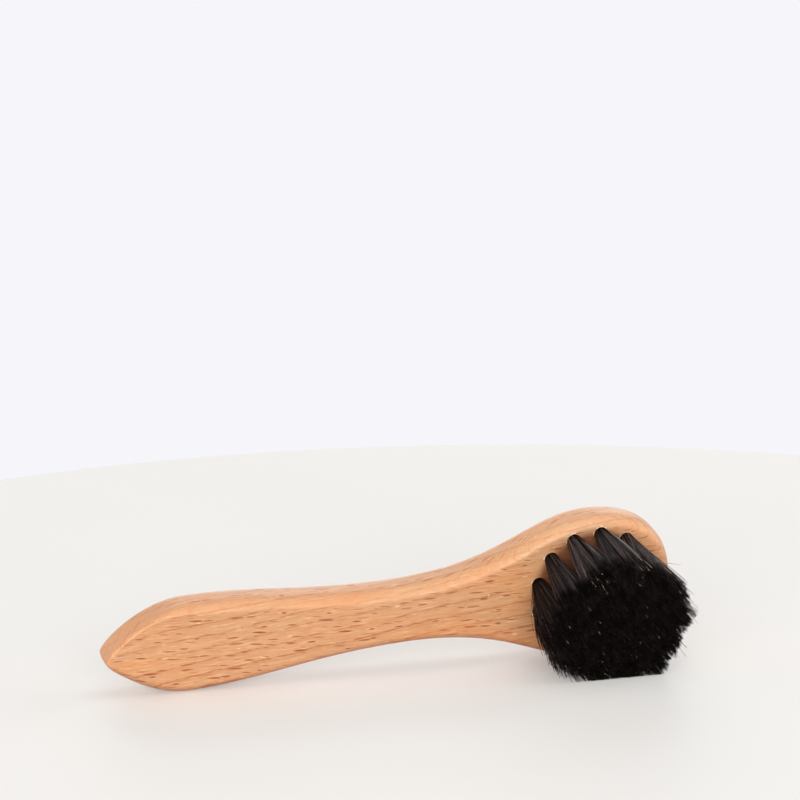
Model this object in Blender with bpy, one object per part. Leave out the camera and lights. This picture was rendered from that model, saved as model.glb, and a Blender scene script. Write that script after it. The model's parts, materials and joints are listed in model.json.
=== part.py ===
"""Shoe polish applicator brush, lying on its edge as it does on a table.

One beech board makes the handle and its round head. Tufts of black hair stand in
blind holes in the head, and a wire staple holds the fold of each tuft down.

The parts are drawn flat first: X runs from the handle's tip to the head, Z across
the board, and the hair grows out of the face at -Y. Then the whole brush is laid
down: it rests on the edges of its paddle and its head and leans on its hair.
"""
import math

import bmesh
import bpy
from mathutils import Matrix, Vector, geometry

# Board
HANDLE_LENGTH = 0.170
BOARD_THICKNESS = 0.0115
EDGE_RADIUS = 0.0032

# Outline of the board: three widths, each with the fullness of the curve beside it
PADDLE_FROM_TIP = 0.0242
PADDLE_HALF_WIDTH = 0.0134
NECK_FROM_TIP = 0.0864
NECK_HALF_WIDTH = 0.00875
HEAD_FROM_END = 0.0246
HEAD_HALF_WIDTH = 0.0222
TIP_FULLNESS = 0.0022
PADDLE_FULLNESS_TO_TIP = 0.0122
PADDLE_FULLNESS_TO_NECK = 0.0230
NECK_FULLNESS_TO_PADDLE = 0.027
NECK_FULLNESS_TO_HEAD = 0.035
HEAD_FULLNESS_TO_NECK = 0.0178
HEAD_FULLNESS_TO_END = 0.0090
END_FULLNESS = 0.0185
POINTS_PER_CURVE = 11
EDGE_STEPS = 3
SHARP_EDGE = math.radians(35)

# Rings of holes: tufts in each ring, and where the ring's first hole lies
OUTER_RING_FROM_EDGE = 0.0047
RING_PITCH = 0.0081
OUTER_RING_TUFTS = 13
MIDDLE_RING_TUFTS = 7
OUTER_RING_TURN = math.radians(193.8)
MIDDLE_RING_TURN = math.radians(206.0)

# One hole, with the wood that stays under it and behind the staple's points
HOLE_DIAMETER = 0.0042
WOOD_UNDER_HOLE = 0.0045
WOOD_BEHIND_STAPLE = 0.0016
HOLE_SIDES = 14
FIT_GAP = 0.0003

# Hair: the bound stem above the wood, then the strands to the trimmed face
HAIR_LENGTH = 0.024
STEM_LENGTH = 0.0020
STEM_FLARE = 0.0002
TRIMMED_FACE_RADIUS = 0.0220
TRIMMED_FACE_SIDES = 48
HAIR_LEAN_DOWN = 0.0035
STRAND_RINGS = (1, 6, 12)
STRAND_SIDES = 3
STRAND_TIP_RADIUS = 0.00052
STRAND_ROOT_FILL = 0.40
STEM_BORDER = 0.6
STRAND_TIP_FILL = 0.42
GAP_BETWEEN_TUFTS = 0.0003
BEND_BAND = 0.012
CORNER_REACH = 0.0182
CORNER_SLANT = math.radians(27.5)

# Staple of round wire across the fold of a tuft
WIRE_DIAMETER = 0.0006
STAPLE_LEG_SPACING = 0.0030
STAPLE_ABOVE_FLOOR = 0.0021
WIRE_SIDES = 6
BEND_STEPS = 2
WIRE_BEND_RADIUS = 0.0005
PILOT_SIDES = 6

# Lie on the table
LEAN_ON_HAIR = math.radians(9.5)
STEEPEST_INCLINE = math.radians(20)
HALVINGS = 50
TABLE = 0.0
DRILL_OVERRUN = 0.002

FACE_Y = -BOARD_THICKNESS / 2
HEAD_STATION = HANDLE_LENGTH - HEAD_FROM_END
HOLE_DEPTH = BOARD_THICKNESS - WOOD_UNDER_HOLE
PILOT_DEPTH = WOOD_UNDER_HOLE - WOOD_BEHIND_STAPLE
PILOT_DIAMETER = WIRE_DIAMETER + 2 * FIT_GAP
TUFT_RADIUS = HOLE_DIAMETER / 2 - FIT_GAP
STEM_TOP_RADIUS = TUFT_RADIUS + STEM_FLARE
FOLD_HALF_WIDTH = STAPLE_LEG_SPACING / 2 - WIRE_DIAMETER / 2 - FIT_GAP
OUTER_RING_RADIUS = HEAD_HALF_WIDTH - OUTER_RING_FROM_EDGE
MIDDLE_RING_RADIUS = OUTER_RING_RADIUS - RING_PITCH
BRIDGE_Y = FACE_Y + HOLE_DEPTH - STAPLE_ABOVE_FLOOR
TIP_Y = FACE_Y - HAIR_LENGTH


def clear_scene():
    """Remove every object, mesh and material that the file opened with."""
    for thing in list(bpy.data.objects):
        bpy.data.objects.remove(thing, do_unlink=True)
    for mesh in list(bpy.data.meshes):
        bpy.data.meshes.remove(mesh)
    for material in list(bpy.data.materials):
        bpy.data.materials.remove(material)


def make_material(name, colour, roughness, metallic):
    """A plain finish in linear colour."""
    material = bpy.data.materials.new(name)
    material.use_nodes = True
    shader = material.node_tree.nodes["Principled BSDF"]
    shader.inputs["Base Color"].default_value = (*colour, 1.0)
    shader.inputs["Roughness"].default_value = roughness
    shader.inputs["Metallic"].default_value = metallic
    material.diffuse_color = (*colour, 1.0)
    return material


def add_object(name, mesh, material=None):
    """Put a mesh into the scene as one named object."""
    thing = bpy.data.objects.new(name, mesh)
    bpy.context.scene.collection.objects.link(thing)
    if material is not None:
        mesh.materials.append(material)
    return thing


def mesh_from(shape, name):
    """Turn a bmesh into a mesh with smooth round sides and crisp edges."""
    bmesh.ops.recalc_face_normals(shape, faces=shape.faces)
    mesh = bpy.data.meshes.new(name)
    shape.to_mesh(mesh)
    shape.free()
    mesh.shade_smooth()
    mesh.set_sharp_from_angle(angle=SHARP_EDGE)
    return mesh


def bezier(start, start_handle, end_handle, end, count):
    """Points of one cubic curve, both ends included."""
    points = []
    for index in range(count):
        t = index / (count - 1)
        u = 1 - t
        points.append(u**3 * start + 3 * u * u * t * start_handle
                      + 3 * u * t * t * end_handle + t**3 * end)
    return points


def half_outline(inset):
    """Upper half of the board's outline, drawn in by inset all the way round."""
    head_length = HANDLE_LENGTH - HEAD_STATION
    tip = Vector((inset, 0))
    paddle = Vector((PADDLE_FROM_TIP, PADDLE_HALF_WIDTH - inset))
    neck = Vector((NECK_FROM_TIP, NECK_HALF_WIDTH - inset))
    head = Vector((HEAD_STATION, HEAD_HALF_WIDTH - inset))
    end = Vector((HANDLE_LENGTH - inset, 0))
    tip_share = 1 - inset / PADDLE_FROM_TIP
    paddle_share = paddle.y / PADDLE_HALF_WIDTH
    head_share = head.y / HEAD_HALF_WIDTH
    end_share = 1 - inset / head_length
    along = Vector((1, 0))
    across = Vector((0, 1))
    curves = (
        (tip, tip + across * TIP_FULLNESS * paddle_share,
         paddle - along * PADDLE_FULLNESS_TO_TIP * tip_share, paddle),
        (paddle, paddle + along * PADDLE_FULLNESS_TO_NECK,
         neck - along * NECK_FULLNESS_TO_PADDLE, neck),
        (neck, neck + along * NECK_FULLNESS_TO_HEAD,
         head - along * HEAD_FULLNESS_TO_NECK, head),
        (head, head + along * HEAD_FULLNESS_TO_END * end_share,
         end + across * END_FULLNESS * head_share, end),
    )
    points = [tip]
    for curve in curves:
        points += bezier(*curve, POINTS_PER_CURVE)[1:]
    return points


def whole_outline(inset):
    """Closed outline of the board: the upper half and its mirror."""
    upper = half_outline(inset)
    lower = [Vector((p.x, -p.y)) for p in reversed(upper[1:-1])]
    return upper + lower


def edge_levels():
    """Inset and height of each ring of the rounded edge, from face to back."""
    levels = []
    for step in range(EDGE_STEPS + 1):
        angle = math.pi / 2 * (1 - step / EDGE_STEPS)
        inset = EDGE_RADIUS * (1 - math.cos(angle))
        height = EDGE_RADIUS * (1 - math.sin(angle))
        levels.append((inset, FACE_Y + height))
    return levels + [(inset, -y) for inset, y in reversed(levels)]


def build_board():
    """The board as a stack of outlines, closed by its two flat faces."""
    shape = bmesh.new()
    rings = []
    for inset, y in edge_levels():
        rings.append([shape.verts.new((p.x, y, p.y)) for p in whole_outline(inset)])
    count = len(rings[0])
    for lower, upper in zip(rings, rings[1:]):
        for i in range(count):
            j = (i + 1) % count
            shape.faces.new((lower[i], lower[j], upper[j], upper[i]))
    shape.faces.new(rings[0])
    shape.faces.new(rings[-1])
    return shape


def add_prism(shape, centre, radius, near_y, far_y, sides):
    """A closed prism along Y, added to a cutter."""
    rings = []
    for y in (near_y, far_y):
        ring = []
        for i in range(sides):
            angle = math.tau * (i + 0.5) / sides
            x = centre.x + radius * math.cos(angle)
            z = centre.y + radius * math.sin(angle)
            ring.append(shape.verts.new((x, y, z)))
        rings.append(ring)
    for i in range(sides):
        j = (i + 1) % sides
        shape.faces.new((rings[0][i], rings[0][j], rings[1][j], rings[1][i]))
    shape.faces.new(rings[0])
    shape.faces.new(rings[1])


def cut(thing, cutter):
    """Cut one object with another, and keep the cutter out of the way."""
    cutter.hide_render = True
    cutter.display_type = "WIRE"
    modifier = thing.modifiers.new(cutter.name, "BOOLEAN")
    modifier.operation = "DIFFERENCE"
    modifier.solver = "EXACT"
    modifier.object = cutter


def evaluated_copy(thing, name):
    """The mesh of an object with its modifiers carried out."""
    graph = bpy.context.evaluated_depsgraph_get()
    graph.update()
    mesh = bpy.data.meshes.new_from_object(thing.evaluated_get(graph))
    mesh.name = name
    return mesh


def tuft_roots():
    """Name and hole centre of each tuft: outer ring, middle ring and centre."""
    middle = Vector((HEAD_STATION, 0))
    roots = []
    rings = (
        ("outer", OUTER_RING_TUFTS, OUTER_RING_RADIUS, OUTER_RING_TURN),
        ("middle", MIDDLE_RING_TUFTS, MIDDLE_RING_RADIUS, MIDDLE_RING_TURN),
        ("centre", 1, 0.0, 0.0),
    )
    for label, count, radius, turn in rings:
        for i in range(count):
            angle = turn - math.tau * i / count
            root = middle + radius * Vector((math.cos(angle), math.sin(angle)))
            roots.append((f"{label}_{i + 1:02d}", root))
    return roots


def leg_centres(root):
    """The two points where the legs of a staple enter the wood."""
    half = Vector((0, STAPLE_LEG_SPACING / 2))
    return root - half, root + half


def build_handle(material):
    """The beech handle, with a blind hole and two pilot holes for each tuft."""
    handle = add_object("handle", mesh_from(build_board(), "handle"), material)
    holes = bmesh.new()
    pilots = bmesh.new()
    floor_y = FACE_Y + HOLE_DEPTH
    for _, root in tuft_roots():
        add_prism(holes, root, HOLE_DIAMETER / 2, FACE_Y - DRILL_OVERRUN, floor_y, HOLE_SIDES)
        for leg in leg_centres(root):
            add_prism(pilots, leg, PILOT_DIAMETER / 2, floor_y - FIT_GAP,
                      floor_y + PILOT_DEPTH, PILOT_SIDES)
    cut(handle, add_object("hole_drills", mesh_from(holes, "hole_drills")))
    cut(handle, add_object("pilot_drills", mesh_from(pilots, "pilot_drills")))
    return handle


def lie_matrix(incline):
    """Turn the flat drawing to the way the brush lies, before it is set down."""
    return Matrix.Rotation(-incline, 4, "Y") @ Matrix.Rotation(LEAN_ON_HAIR, 4, "X")


def lowest(points, incline):
    """Lowest height that a set of points reaches at an incline."""
    turn = lie_matrix(incline)
    return min((turn @ p).z for p in points)


def resting_incline():
    """Incline at which the paddle and the head touch the table together."""
    points = [Vector((p.x, y, p.y)) for inset, y in edge_levels() for p in whole_outline(inset)]
    paddle = [p for p in points if p.x < NECK_FROM_TIP]
    head = [p for p in points if p.x > NECK_FROM_TIP]
    low = 0.0
    high = STEEPEST_INCLINE
    for _ in range(HALVINGS):
        middle = (low + high) / 2
        if lowest(paddle, middle) > lowest(head, middle):
            low = middle
        else:
            high = middle
    return low, lowest(points, low)


def table_line(incline, wood_bottom):
    """The table as a half-plane of the trimmed face: normal and least distance."""
    turn = lie_matrix(incline)
    start = (turn @ Vector((0, TIP_Y, 0))).z - wood_bottom
    slope_x = (turn @ Vector((1, 0, 0))).z
    slope_z = (turn @ Vector((0, 0, 1))).z
    size = math.hypot(slope_x, slope_z)
    return Vector((slope_x, slope_z)) / size, -start / size


def clip(polygon, normal, least):
    """Keep the part of a polygon where normal . p is at least this much."""
    kept = []
    for a, b in zip(polygon, polygon[1:] + polygon[:1]):
        da = normal.dot(a) - least
        db = normal.dot(b) - least
        if da >= 0:
            kept.append(a)
        if da * db < 0:
            kept.append(a + (b - a) * (da / (da - db)))
    return kept


def trimmed_face(table):
    """Outline of the trimmed face: a circle cut flat by the table, with both corners pressed in."""
    centre = Vector((HEAD_STATION, -HAIR_LEAN_DOWN))
    circle = []
    for i in range(TRIMMED_FACE_SIDES):
        angle = math.tau * i / TRIMMED_FACE_SIDES
        circle.append(centre + TRIMMED_FACE_RADIUS * Vector((math.cos(angle), math.sin(angle))))
    face = clip(circle, *table)
    for side in (-1, 1):
        inward = Vector((side * math.cos(CORNER_SLANT), math.sin(CORNER_SLANT)))
        face = clip(face, inward, inward.dot(centre) - CORNER_REACH)
    return face


def tip_centre(root, table):
    """Where the middle of a tuft reaches the trimmed face, bent up by the table."""
    spread = TRIMMED_FACE_RADIUS / (OUTER_RING_RADIUS + RING_PITCH / 2)
    middle = Vector((HEAD_STATION, 0))
    lean = Vector((0, -HAIR_LEAN_DOWN))
    free = middle + lean + (root - middle) * spread
    normal, least = table
    lowest_free = normal.dot(middle + lean) - TRIMMED_FACE_RADIUS
    height = normal.dot(free) - least
    band = min(BEND_BAND, normal.dot(middle + lean) - least)
    depth = max(0.0, least - lowest_free)
    if height < band:
        pressed = band * (height + depth) / (band + depth)
        free = free + normal * (pressed - height)
    return free


def tip_cells(table):
    """The patch of the trimmed face that each tuft fills, as a polygon."""
    roots = [root for _, root in tuft_roots()]
    centres = [tip_centre(root, table) for root in roots]
    face = trimmed_face(table)
    cells = []
    for i, root in enumerate(roots):
        cell = face
        for j, other in enumerate(roots):
            if i != j:
                apart = (root - other).normalized()
                halfway = apart.dot(centres[i] + centres[j]) / 2
                cell = clip(cell, apart, halfway + GAP_BETWEEN_TUFTS / 2)
        cells.append(cell)
    return cells


def centroid(polygon):
    """Centre of area of a polygon."""
    area = 0.0
    total = Vector((0, 0))
    for a, b in zip(polygon, polygon[1:] + polygon[:1]):
        part = a.x * b.y - b.x * a.y
        area += part
        total += (a + b) * part
    return total / (3 * area)


def reach(polygon, centre, direction, margin):
    """How far one can go from a point inside a polygon and stay a margin off its sides."""
    best = math.inf
    for a, b in zip(polygon, polygon[1:] + polygon[:1]):
        outward = Vector((b.y - a.y, a.x - b.x)).normalized()
        facing = outward.dot(direction)
        if facing > 0:
            best = min(best, (outward.dot(a - centre) - margin) / facing)
    return best


def strand_pattern():
    """Places of the strands in a unit disc, ring by ring."""
    last = len(STRAND_RINGS) - 1
    pattern = []
    for ring, count in enumerate(STRAND_RINGS):
        for i in range(count):
            angle = math.tau * (i + 0.5 * (ring % 2)) / count
            pattern.append((ring / last, angle))
    return pattern


def least_spacing(points):
    """Smallest distance between two of the points."""
    return min((a - b).length for i, a in enumerate(points) for b in points[:i])


def strand_roots(centre):
    """Where the strands leave the top of the stem, and their radius there."""
    last = len(STRAND_RINGS) - 1
    rim = STEM_TOP_RADIUS * last / (last + STEM_BORDER)
    points = []
    for share, angle in strand_pattern():
        points.append(centre + share * rim * Vector((math.cos(angle), math.sin(angle))))
    return points, STRAND_ROOT_FILL * least_spacing(points)


def spread_in(cell, margin):
    """The strand pattern stretched over a cell, kept a margin inside its sides."""
    centre = centroid(cell)
    points = []
    for share, angle in strand_pattern():
        direction = Vector((math.cos(angle), math.sin(angle)))
        far = reach(cell, centre, direction, margin)
        points.append(centre + share * far * direction)
    return points


def strand_tips(cell):
    """Where the strands reach the trimmed face, and their radius there."""
    loose = spread_in(cell, STRAND_TIP_RADIUS)
    radius = min(STRAND_TIP_RADIUS, STRAND_TIP_FILL * least_spacing(loose))
    return spread_in(cell, radius), radius


def corners(centre, radius, turn):
    """Corners of a small polygon across a strand."""
    points = []
    for k in range(STRAND_SIDES):
        angle = turn + math.tau * k / STRAND_SIDES
        points.append(centre + radius * Vector((math.cos(angle), math.sin(angle))))
    return points


def build_stem():
    """The bound foot of a tuft: stem, root in the hole, and fold under the wire."""
    shape = bmesh.new()
    shoulder_y = BRIDGE_Y - WIRE_DIAMETER / 2 - FIT_GAP
    foot_y = FACE_Y + HOLE_DEPTH - FIT_GAP
    levels = (
        (FACE_Y - STEM_LENGTH, STEM_TOP_RADIUS),
        (FACE_Y, TUFT_RADIUS),
        (shoulder_y, TUFT_RADIUS),
        (foot_y, TUFT_RADIUS),
    )
    rings = []
    for y, radius in levels:
        ring = []
        for i in range(HOLE_SIDES):
            angle = math.tau * (i + 0.5) / HOLE_SIDES
            ring.append(shape.verts.new((radius * math.cos(angle), y, radius * math.sin(angle))))
        rings.append(ring)
    for near, far in zip(rings, rings[1:]):
        for i in range(HOLE_SIDES):
            j = (i + 1) % HOLE_SIDES
            shape.faces.new((near[i], near[j], far[j], far[i]))
    shape.faces.new(rings[0])
    shape.faces.new(rings[-1])
    stem = add_object("stem_blank", mesh_from(shape, "stem_blank"))
    stem.hide_render = True
    stem.display_type = "WIRE"
    cut(stem, add_object("fold_sides", mesh_from(fold_sides(shoulder_y, foot_y), "fold_sides")))
    cut(stem, add_object("wire_bore", mesh_from(wire_bore(), "wire_bore")))
    return evaluated_copy(stem, "stem")


def fold_sides(shoulder_y, foot_y):
    """Two blocks that narrow the fold to pass between the staple's legs."""
    shape = bmesh.new()
    width = 2 * TUFT_RADIUS
    for side in (-1, 1):
        middle_y = (shoulder_y + foot_y + width) / 2
        spot = Matrix.Translation((0, middle_y, side * (FOLD_HALF_WIDTH + width / 2)))
        size = Matrix.Diagonal((2 * width, foot_y + width - shoulder_y, width, 1))
        bmesh.ops.create_cube(shape, size=1.0, matrix=spot @ size)
    return shape


def wire_bore():
    """The way through the fold for the staple's bridge, along Z."""
    shape = bmesh.new()
    turn = Matrix.Rotation(math.pi / WIRE_SIDES, 4, "Z")
    place = Matrix.Translation((0, BRIDGE_Y, 0)) @ turn
    bmesh.ops.create_cone(shape, cap_ends=True, segments=WIRE_SIDES, radius1=PILOT_DIAMETER / 2,
                          radius2=PILOT_DIAMETER / 2, depth=4 * TUFT_RADIUS, matrix=place)
    return shape


def add_strands(shape, root, cell):
    """Grow the strands out of the stem's top face, as one skin with it."""
    top_y = FACE_Y - STEM_LENGTH
    top = min(shape.faces, key=lambda face: face.calc_center_median().y)
    rim = list(top.verts)
    bmesh.ops.delete(shape, geom=[top], context="FACES_ONLY")
    roots, root_radius = strand_roots(root)
    tips, tip_radius = strand_tips(cell)
    flat = [Vector((v.co.x, v.co.z)) for v in rim]
    verts = list(rim)
    edges = [(i, (i + 1) % len(rim)) for i in range(len(rim))]
    owner = [-1] * len(rim)
    for number, (near, far) in enumerate(zip(roots, tips)):
        turn = math.atan2(near.y - root.y, near.x - root.x)
        first = len(flat)
        for corner in corners(near, root_radius, turn):
            flat.append(corner)
            verts.append(shape.verts.new((corner.x, top_y, corner.y)))
            owner.append(number)
        edges += [(first + k, first + (k + 1) % STRAND_SIDES) for k in range(STRAND_SIDES)]
        far_verts = [shape.verts.new((c.x, TIP_Y, c.y)) for c in corners(far, tip_radius, turn)]
        for k in range(STRAND_SIDES):
            m = (k + 1) % STRAND_SIDES
            shape.faces.new((verts[first + k], verts[first + m], far_verts[m], far_verts[k]))
        shape.faces.new(far_verts)
    triangles = geometry.delaunay_2d_cdt(flat, edges, [], 0, 1e-9)[2]
    for triangle in triangles:
        owners = {owner[i] for i in triangle}
        if len(owners) > 1 or owners == {-1}:
            shape.faces.new([verts[i] for i in triangle])


def build_tuft(name, stem, root, cell, material):
    """One tuft: its stem in the hole and its strands out to the trimmed face."""
    shape = bmesh.new()
    shape.from_mesh(stem)
    bmesh.ops.translate(shape, verts=shape.verts, vec=(root.x, 0, root.y))
    add_strands(shape, root, cell)
    return add_object(f"tuft_{name}", mesh_from(shape, f"tuft_{name}"), material)


def staple_path():
    """Middle line of a staple: leg, bend, bridge, bend, leg."""
    half = STAPLE_LEG_SPACING / 2
    point_y = FACE_Y + HOLE_DEPTH + PILOT_DEPTH - FIT_GAP
    quarter = []
    for step in range(BEND_STEPS + 1):
        angle = math.pi / 2 * step / BEND_STEPS
        y = BRIDGE_Y + WIRE_BEND_RADIUS * (1 - math.sin(angle))
        z = half - WIRE_BEND_RADIUS * (1 - math.cos(angle))
        quarter.append(Vector((0, y, z)))
    leg = [Vector((0, point_y, half))] + quarter
    return leg + [Vector((0, p.y, -p.z)) for p in reversed(leg)]


def build_staple(name, root, material):
    """One staple of round wire over the fold of a tuft."""
    path = staple_path()
    shape = bmesh.new()
    rings = []
    for i, point in enumerate(path):
        before = path[max(i - 1, 0)]
        after = path[min(i + 1, len(path) - 1)]
        forward = (after - before).normalized()
        side = Vector((1, 0, 0))
        other = forward.cross(side)
        ring = []
        for k in range(WIRE_SIDES):
            angle = math.tau * k / WIRE_SIDES
            offset = side * math.cos(angle) + other * math.sin(angle)
            spot = point + offset * WIRE_DIAMETER / 2 + Vector((root.x, 0, root.y))
            ring.append(shape.verts.new(spot))
        rings.append(ring)
    for near, far in zip(rings, rings[1:]):
        for k in range(WIRE_SIDES):
            m = (k + 1) % WIRE_SIDES
            shape.faces.new((near[k], near[m], far[m], far[k]))
    shape.faces.new(rings[0])
    shape.faces.new(rings[-1])
    return add_object(f"staple_{name}", mesh_from(shape, f"staple_{name}"), material)


def lay_down(things, incline, wood_bottom):
    """Lay the brush on the table, centred over the origin."""
    turn = Matrix.Translation((0, 0, TABLE - wood_bottom)) @ lie_matrix(incline)
    bpy.context.view_layer.update()
    graph = bpy.context.evaluated_depsgraph_get()
    spots = []
    for thing in things:
        spots += [turn @ v.co for v in thing.evaluated_get(graph).data.vertices]
    middle_x = (min(p.x for p in spots) + max(p.x for p in spots)) / 2
    middle_y = (min(p.y for p in spots) + max(p.y for p in spots)) / 2
    place = Matrix.Translation((-middle_x, -middle_y, 0)) @ turn
    for thing in bpy.context.scene.objects:
        thing.matrix_world = place


def main():
    """Build every piece and lay the brush down."""
    clear_scene()
    beech = make_material("varnished_beech", (0.80, 0.45, 0.25), 0.42, 0.0)
    hair = make_material("black_hair", (0.012, 0.011, 0.012), 0.45, 0.0)
    steel = make_material("staple_wire", (0.56, 0.55, 0.53), 0.35, 1.0)
    incline, wood_bottom = resting_incline()
    table = table_line(incline, wood_bottom)
    things = [build_handle(beech)]
    stem = build_stem()
    for (name, root), cell in zip(tuft_roots(), tip_cells(table)):
        things.append(build_tuft(name, stem, root, cell, hair))
        things.append(build_staple(name, root, steel))
    bpy.data.meshes.remove(stem)
    lay_down(things, incline, wood_bottom)


main()
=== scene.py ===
"""Looks of the shoe polish applicator brush, lying on a plain pale table.

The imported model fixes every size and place. This script dresses it: a varnished beech board
with its bored holes, tufts of black horsehair made hair by hair, wire staples and soft light.

Each piece is drawn in the brush's own drawing and laid down in the frame by one matrix. In the
drawing X runs from the handle's tip to the head, Z across the board, and the hair grows out of
the face at -Y. Sizes are in metres, unless a class says millimetres.
"""

import json
import logging
import math
from dataclasses import asdict, dataclass, field
from enum import Enum

import bmesh
import bpy
import numpy as np
from mathutils import Matrix, Vector

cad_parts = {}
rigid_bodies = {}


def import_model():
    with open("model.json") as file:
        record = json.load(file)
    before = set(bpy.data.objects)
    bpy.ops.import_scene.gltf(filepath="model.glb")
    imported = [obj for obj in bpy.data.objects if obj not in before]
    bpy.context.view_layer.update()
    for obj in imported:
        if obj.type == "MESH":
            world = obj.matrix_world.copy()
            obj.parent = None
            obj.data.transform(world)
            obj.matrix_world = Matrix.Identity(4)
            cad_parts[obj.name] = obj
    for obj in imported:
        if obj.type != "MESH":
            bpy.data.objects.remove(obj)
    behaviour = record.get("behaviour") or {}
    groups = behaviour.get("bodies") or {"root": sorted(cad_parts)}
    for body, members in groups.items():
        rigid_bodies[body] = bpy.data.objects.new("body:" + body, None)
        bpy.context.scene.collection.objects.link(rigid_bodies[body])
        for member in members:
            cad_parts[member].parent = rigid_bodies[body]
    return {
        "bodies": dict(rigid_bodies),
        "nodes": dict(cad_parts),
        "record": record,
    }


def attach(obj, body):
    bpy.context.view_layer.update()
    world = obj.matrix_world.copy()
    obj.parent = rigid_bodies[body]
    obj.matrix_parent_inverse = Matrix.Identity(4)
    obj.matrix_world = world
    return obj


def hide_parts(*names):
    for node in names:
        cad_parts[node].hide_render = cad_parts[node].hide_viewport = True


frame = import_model()

LOG = logging.getLogger("brush")
BODY = "root"
MM = 0.001
GOLDEN_ANGLE = math.pi * (3 - math.sqrt(5))

Socket = bpy.types.NodeSocket
Colour = tuple[float, float, float]
# The least and the most of something.
Range = tuple[float, float]
# The values at which a smooth rise starts and ends, then what it gives at each.
Rise = tuple[float, float, float, float]


class Slot(Enum):
    """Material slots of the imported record."""

    BEECH = "varnished_beech"
    HAIR = "black_hair"
    WIRE = "staple_wire"


def srgb(red: int, green: int, blue: int) -> Colour:
    """Linear colour of an sRGB colour written in steps of 1/255.

    Args:
        red: red, 0 to 255.
        green: green, 0 to 255.
        blue: blue, 0 to 255.

    Returns:
        The linear colour, each value 0 to 1.
    """
    shares = np.array([red, green, blue]) / 255
    curved = ((shares + 0.055) / 1.055) ** 2.4
    return tuple(float(x) for x in np.where(shares <= 0.04045, shares / 12.92, curved))


def smoothstep(values: np.ndarray, low: float, high: float) -> np.ndarray:
    """For each value, a smooth rise from 0 at and under low to 1 at and over high."""
    share = np.clip((values - low) / (high - low), 0, 1)
    return share * share * (3 - 2 * share)


def remove_leftovers() -> None:
    """Remove whatever the file opened with and the frame didn't bring."""
    brought = set(frame["nodes"].values()) | set(frame["bodies"].values())
    for thing in list(bpy.data.objects):
        if thing not in brought:
            bpy.data.objects.remove(thing, do_unlink=True)


def add_object(name: str, data: bpy.types.ID, matrix: Matrix | None = None) -> bpy.types.Object:
    """Put a mesh, lamp or camera into the scene.

    Args:
        name: the object's name.
        data: what it shows.
        matrix: its place in the frame, if it isn't drawn there.

    Returns:
        The new object.
    """
    thing = bpy.data.objects.new(name, data)
    bpy.context.scene.collection.objects.link(thing)
    if matrix is not None:
        thing.matrix_world = matrix
    return thing


def mesh_of(name: str, points: np.ndarray, faces: list[np.ndarray]) -> bpy.types.Mesh:
    """Make a mesh from arrays.

    Args:
        name: the mesh's name.
        points: its vertices, one row each.
        faces: arrays of faces, one for each number of corners, one row a face.

    Returns:
        The mesh, shaded smooth.
    """
    faces = [f for f in faces if len(f)]
    corners = np.concatenate([f.ravel() for f in faces])
    totals = np.concatenate([np.full(len(f), f.shape[1]) for f in faces])
    starts = np.concatenate([[0], np.cumsum(totals)[:-1]])
    mesh = bpy.data.meshes.new(name)
    mesh.vertices.add(len(points))
    mesh.vertices.foreach_set("co", np.ascontiguousarray(points, np.float32).ravel())
    mesh.loops.add(len(corners))
    mesh.loops.foreach_set("vertex_index", corners.astype(np.int32))
    mesh.polygons.add(len(totals))
    mesh.polygons.foreach_set("loop_start", starts.astype(np.int32))
    mesh.update(calc_edges=True)
    mesh.validate()
    mesh.shade_smooth()
    return mesh


@dataclass(frozen=True)
class Lie:
    """How the flat drawing of the brush lies in the frame."""

    matrix: Matrix

    @classmethod
    def from_mount(cls, mount: dict, point: Vector) -> "Lie":
        """Read the lie from the mount on the board's flat back.

        Args:
            mount: the record's mount, with its place and the way it faces.
            point: where the mount sits in the drawing.

        Returns:
            The lie that puts the drawing's point and back on the mount.
        """
        facing = Vector(mount["axis"])
        lean = math.acos(facing.y)
        incline = math.asin(-facing.x / math.sin(lean))
        turn = Matrix.Rotation(-incline, 4, "Y") @ Matrix.Rotation(lean, 4, "X")
        return cls(Matrix.Translation(Vector(mount["pos_m"]) - turn @ point) @ turn)

    def to_frame(self, points: np.ndarray) -> np.ndarray:
        """Points of the drawing, in the frame."""
        whole = np.array(self.matrix)
        return points @ whole[:3, :3].T + whole[:3, 3]

    def to_drawing(self, points: np.ndarray) -> np.ndarray:
        """Points of the frame, in the drawing."""
        whole = np.array(self.matrix.inverted())
        return points @ whole[:3, :3].T + whole[:3, 3]

    def read_back(self, graph: "Graph") -> Socket:
        """The drawing's own place at each point of a piece, for a material's pattern.

        Args:
            graph: the material's graph.

        Returns:
            The place's socket, in metres.
        """
        place = graph.node("TexCoord").outputs["Object"]
        back = graph.node("Mapping", {"Vector": place}, vector_type="TEXTURE")
        back.inputs["Location"].default_value = self.matrix.to_translation()
        back.inputs["Rotation"].default_value = self.matrix.to_euler()
        return back.outputs[0]


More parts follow.
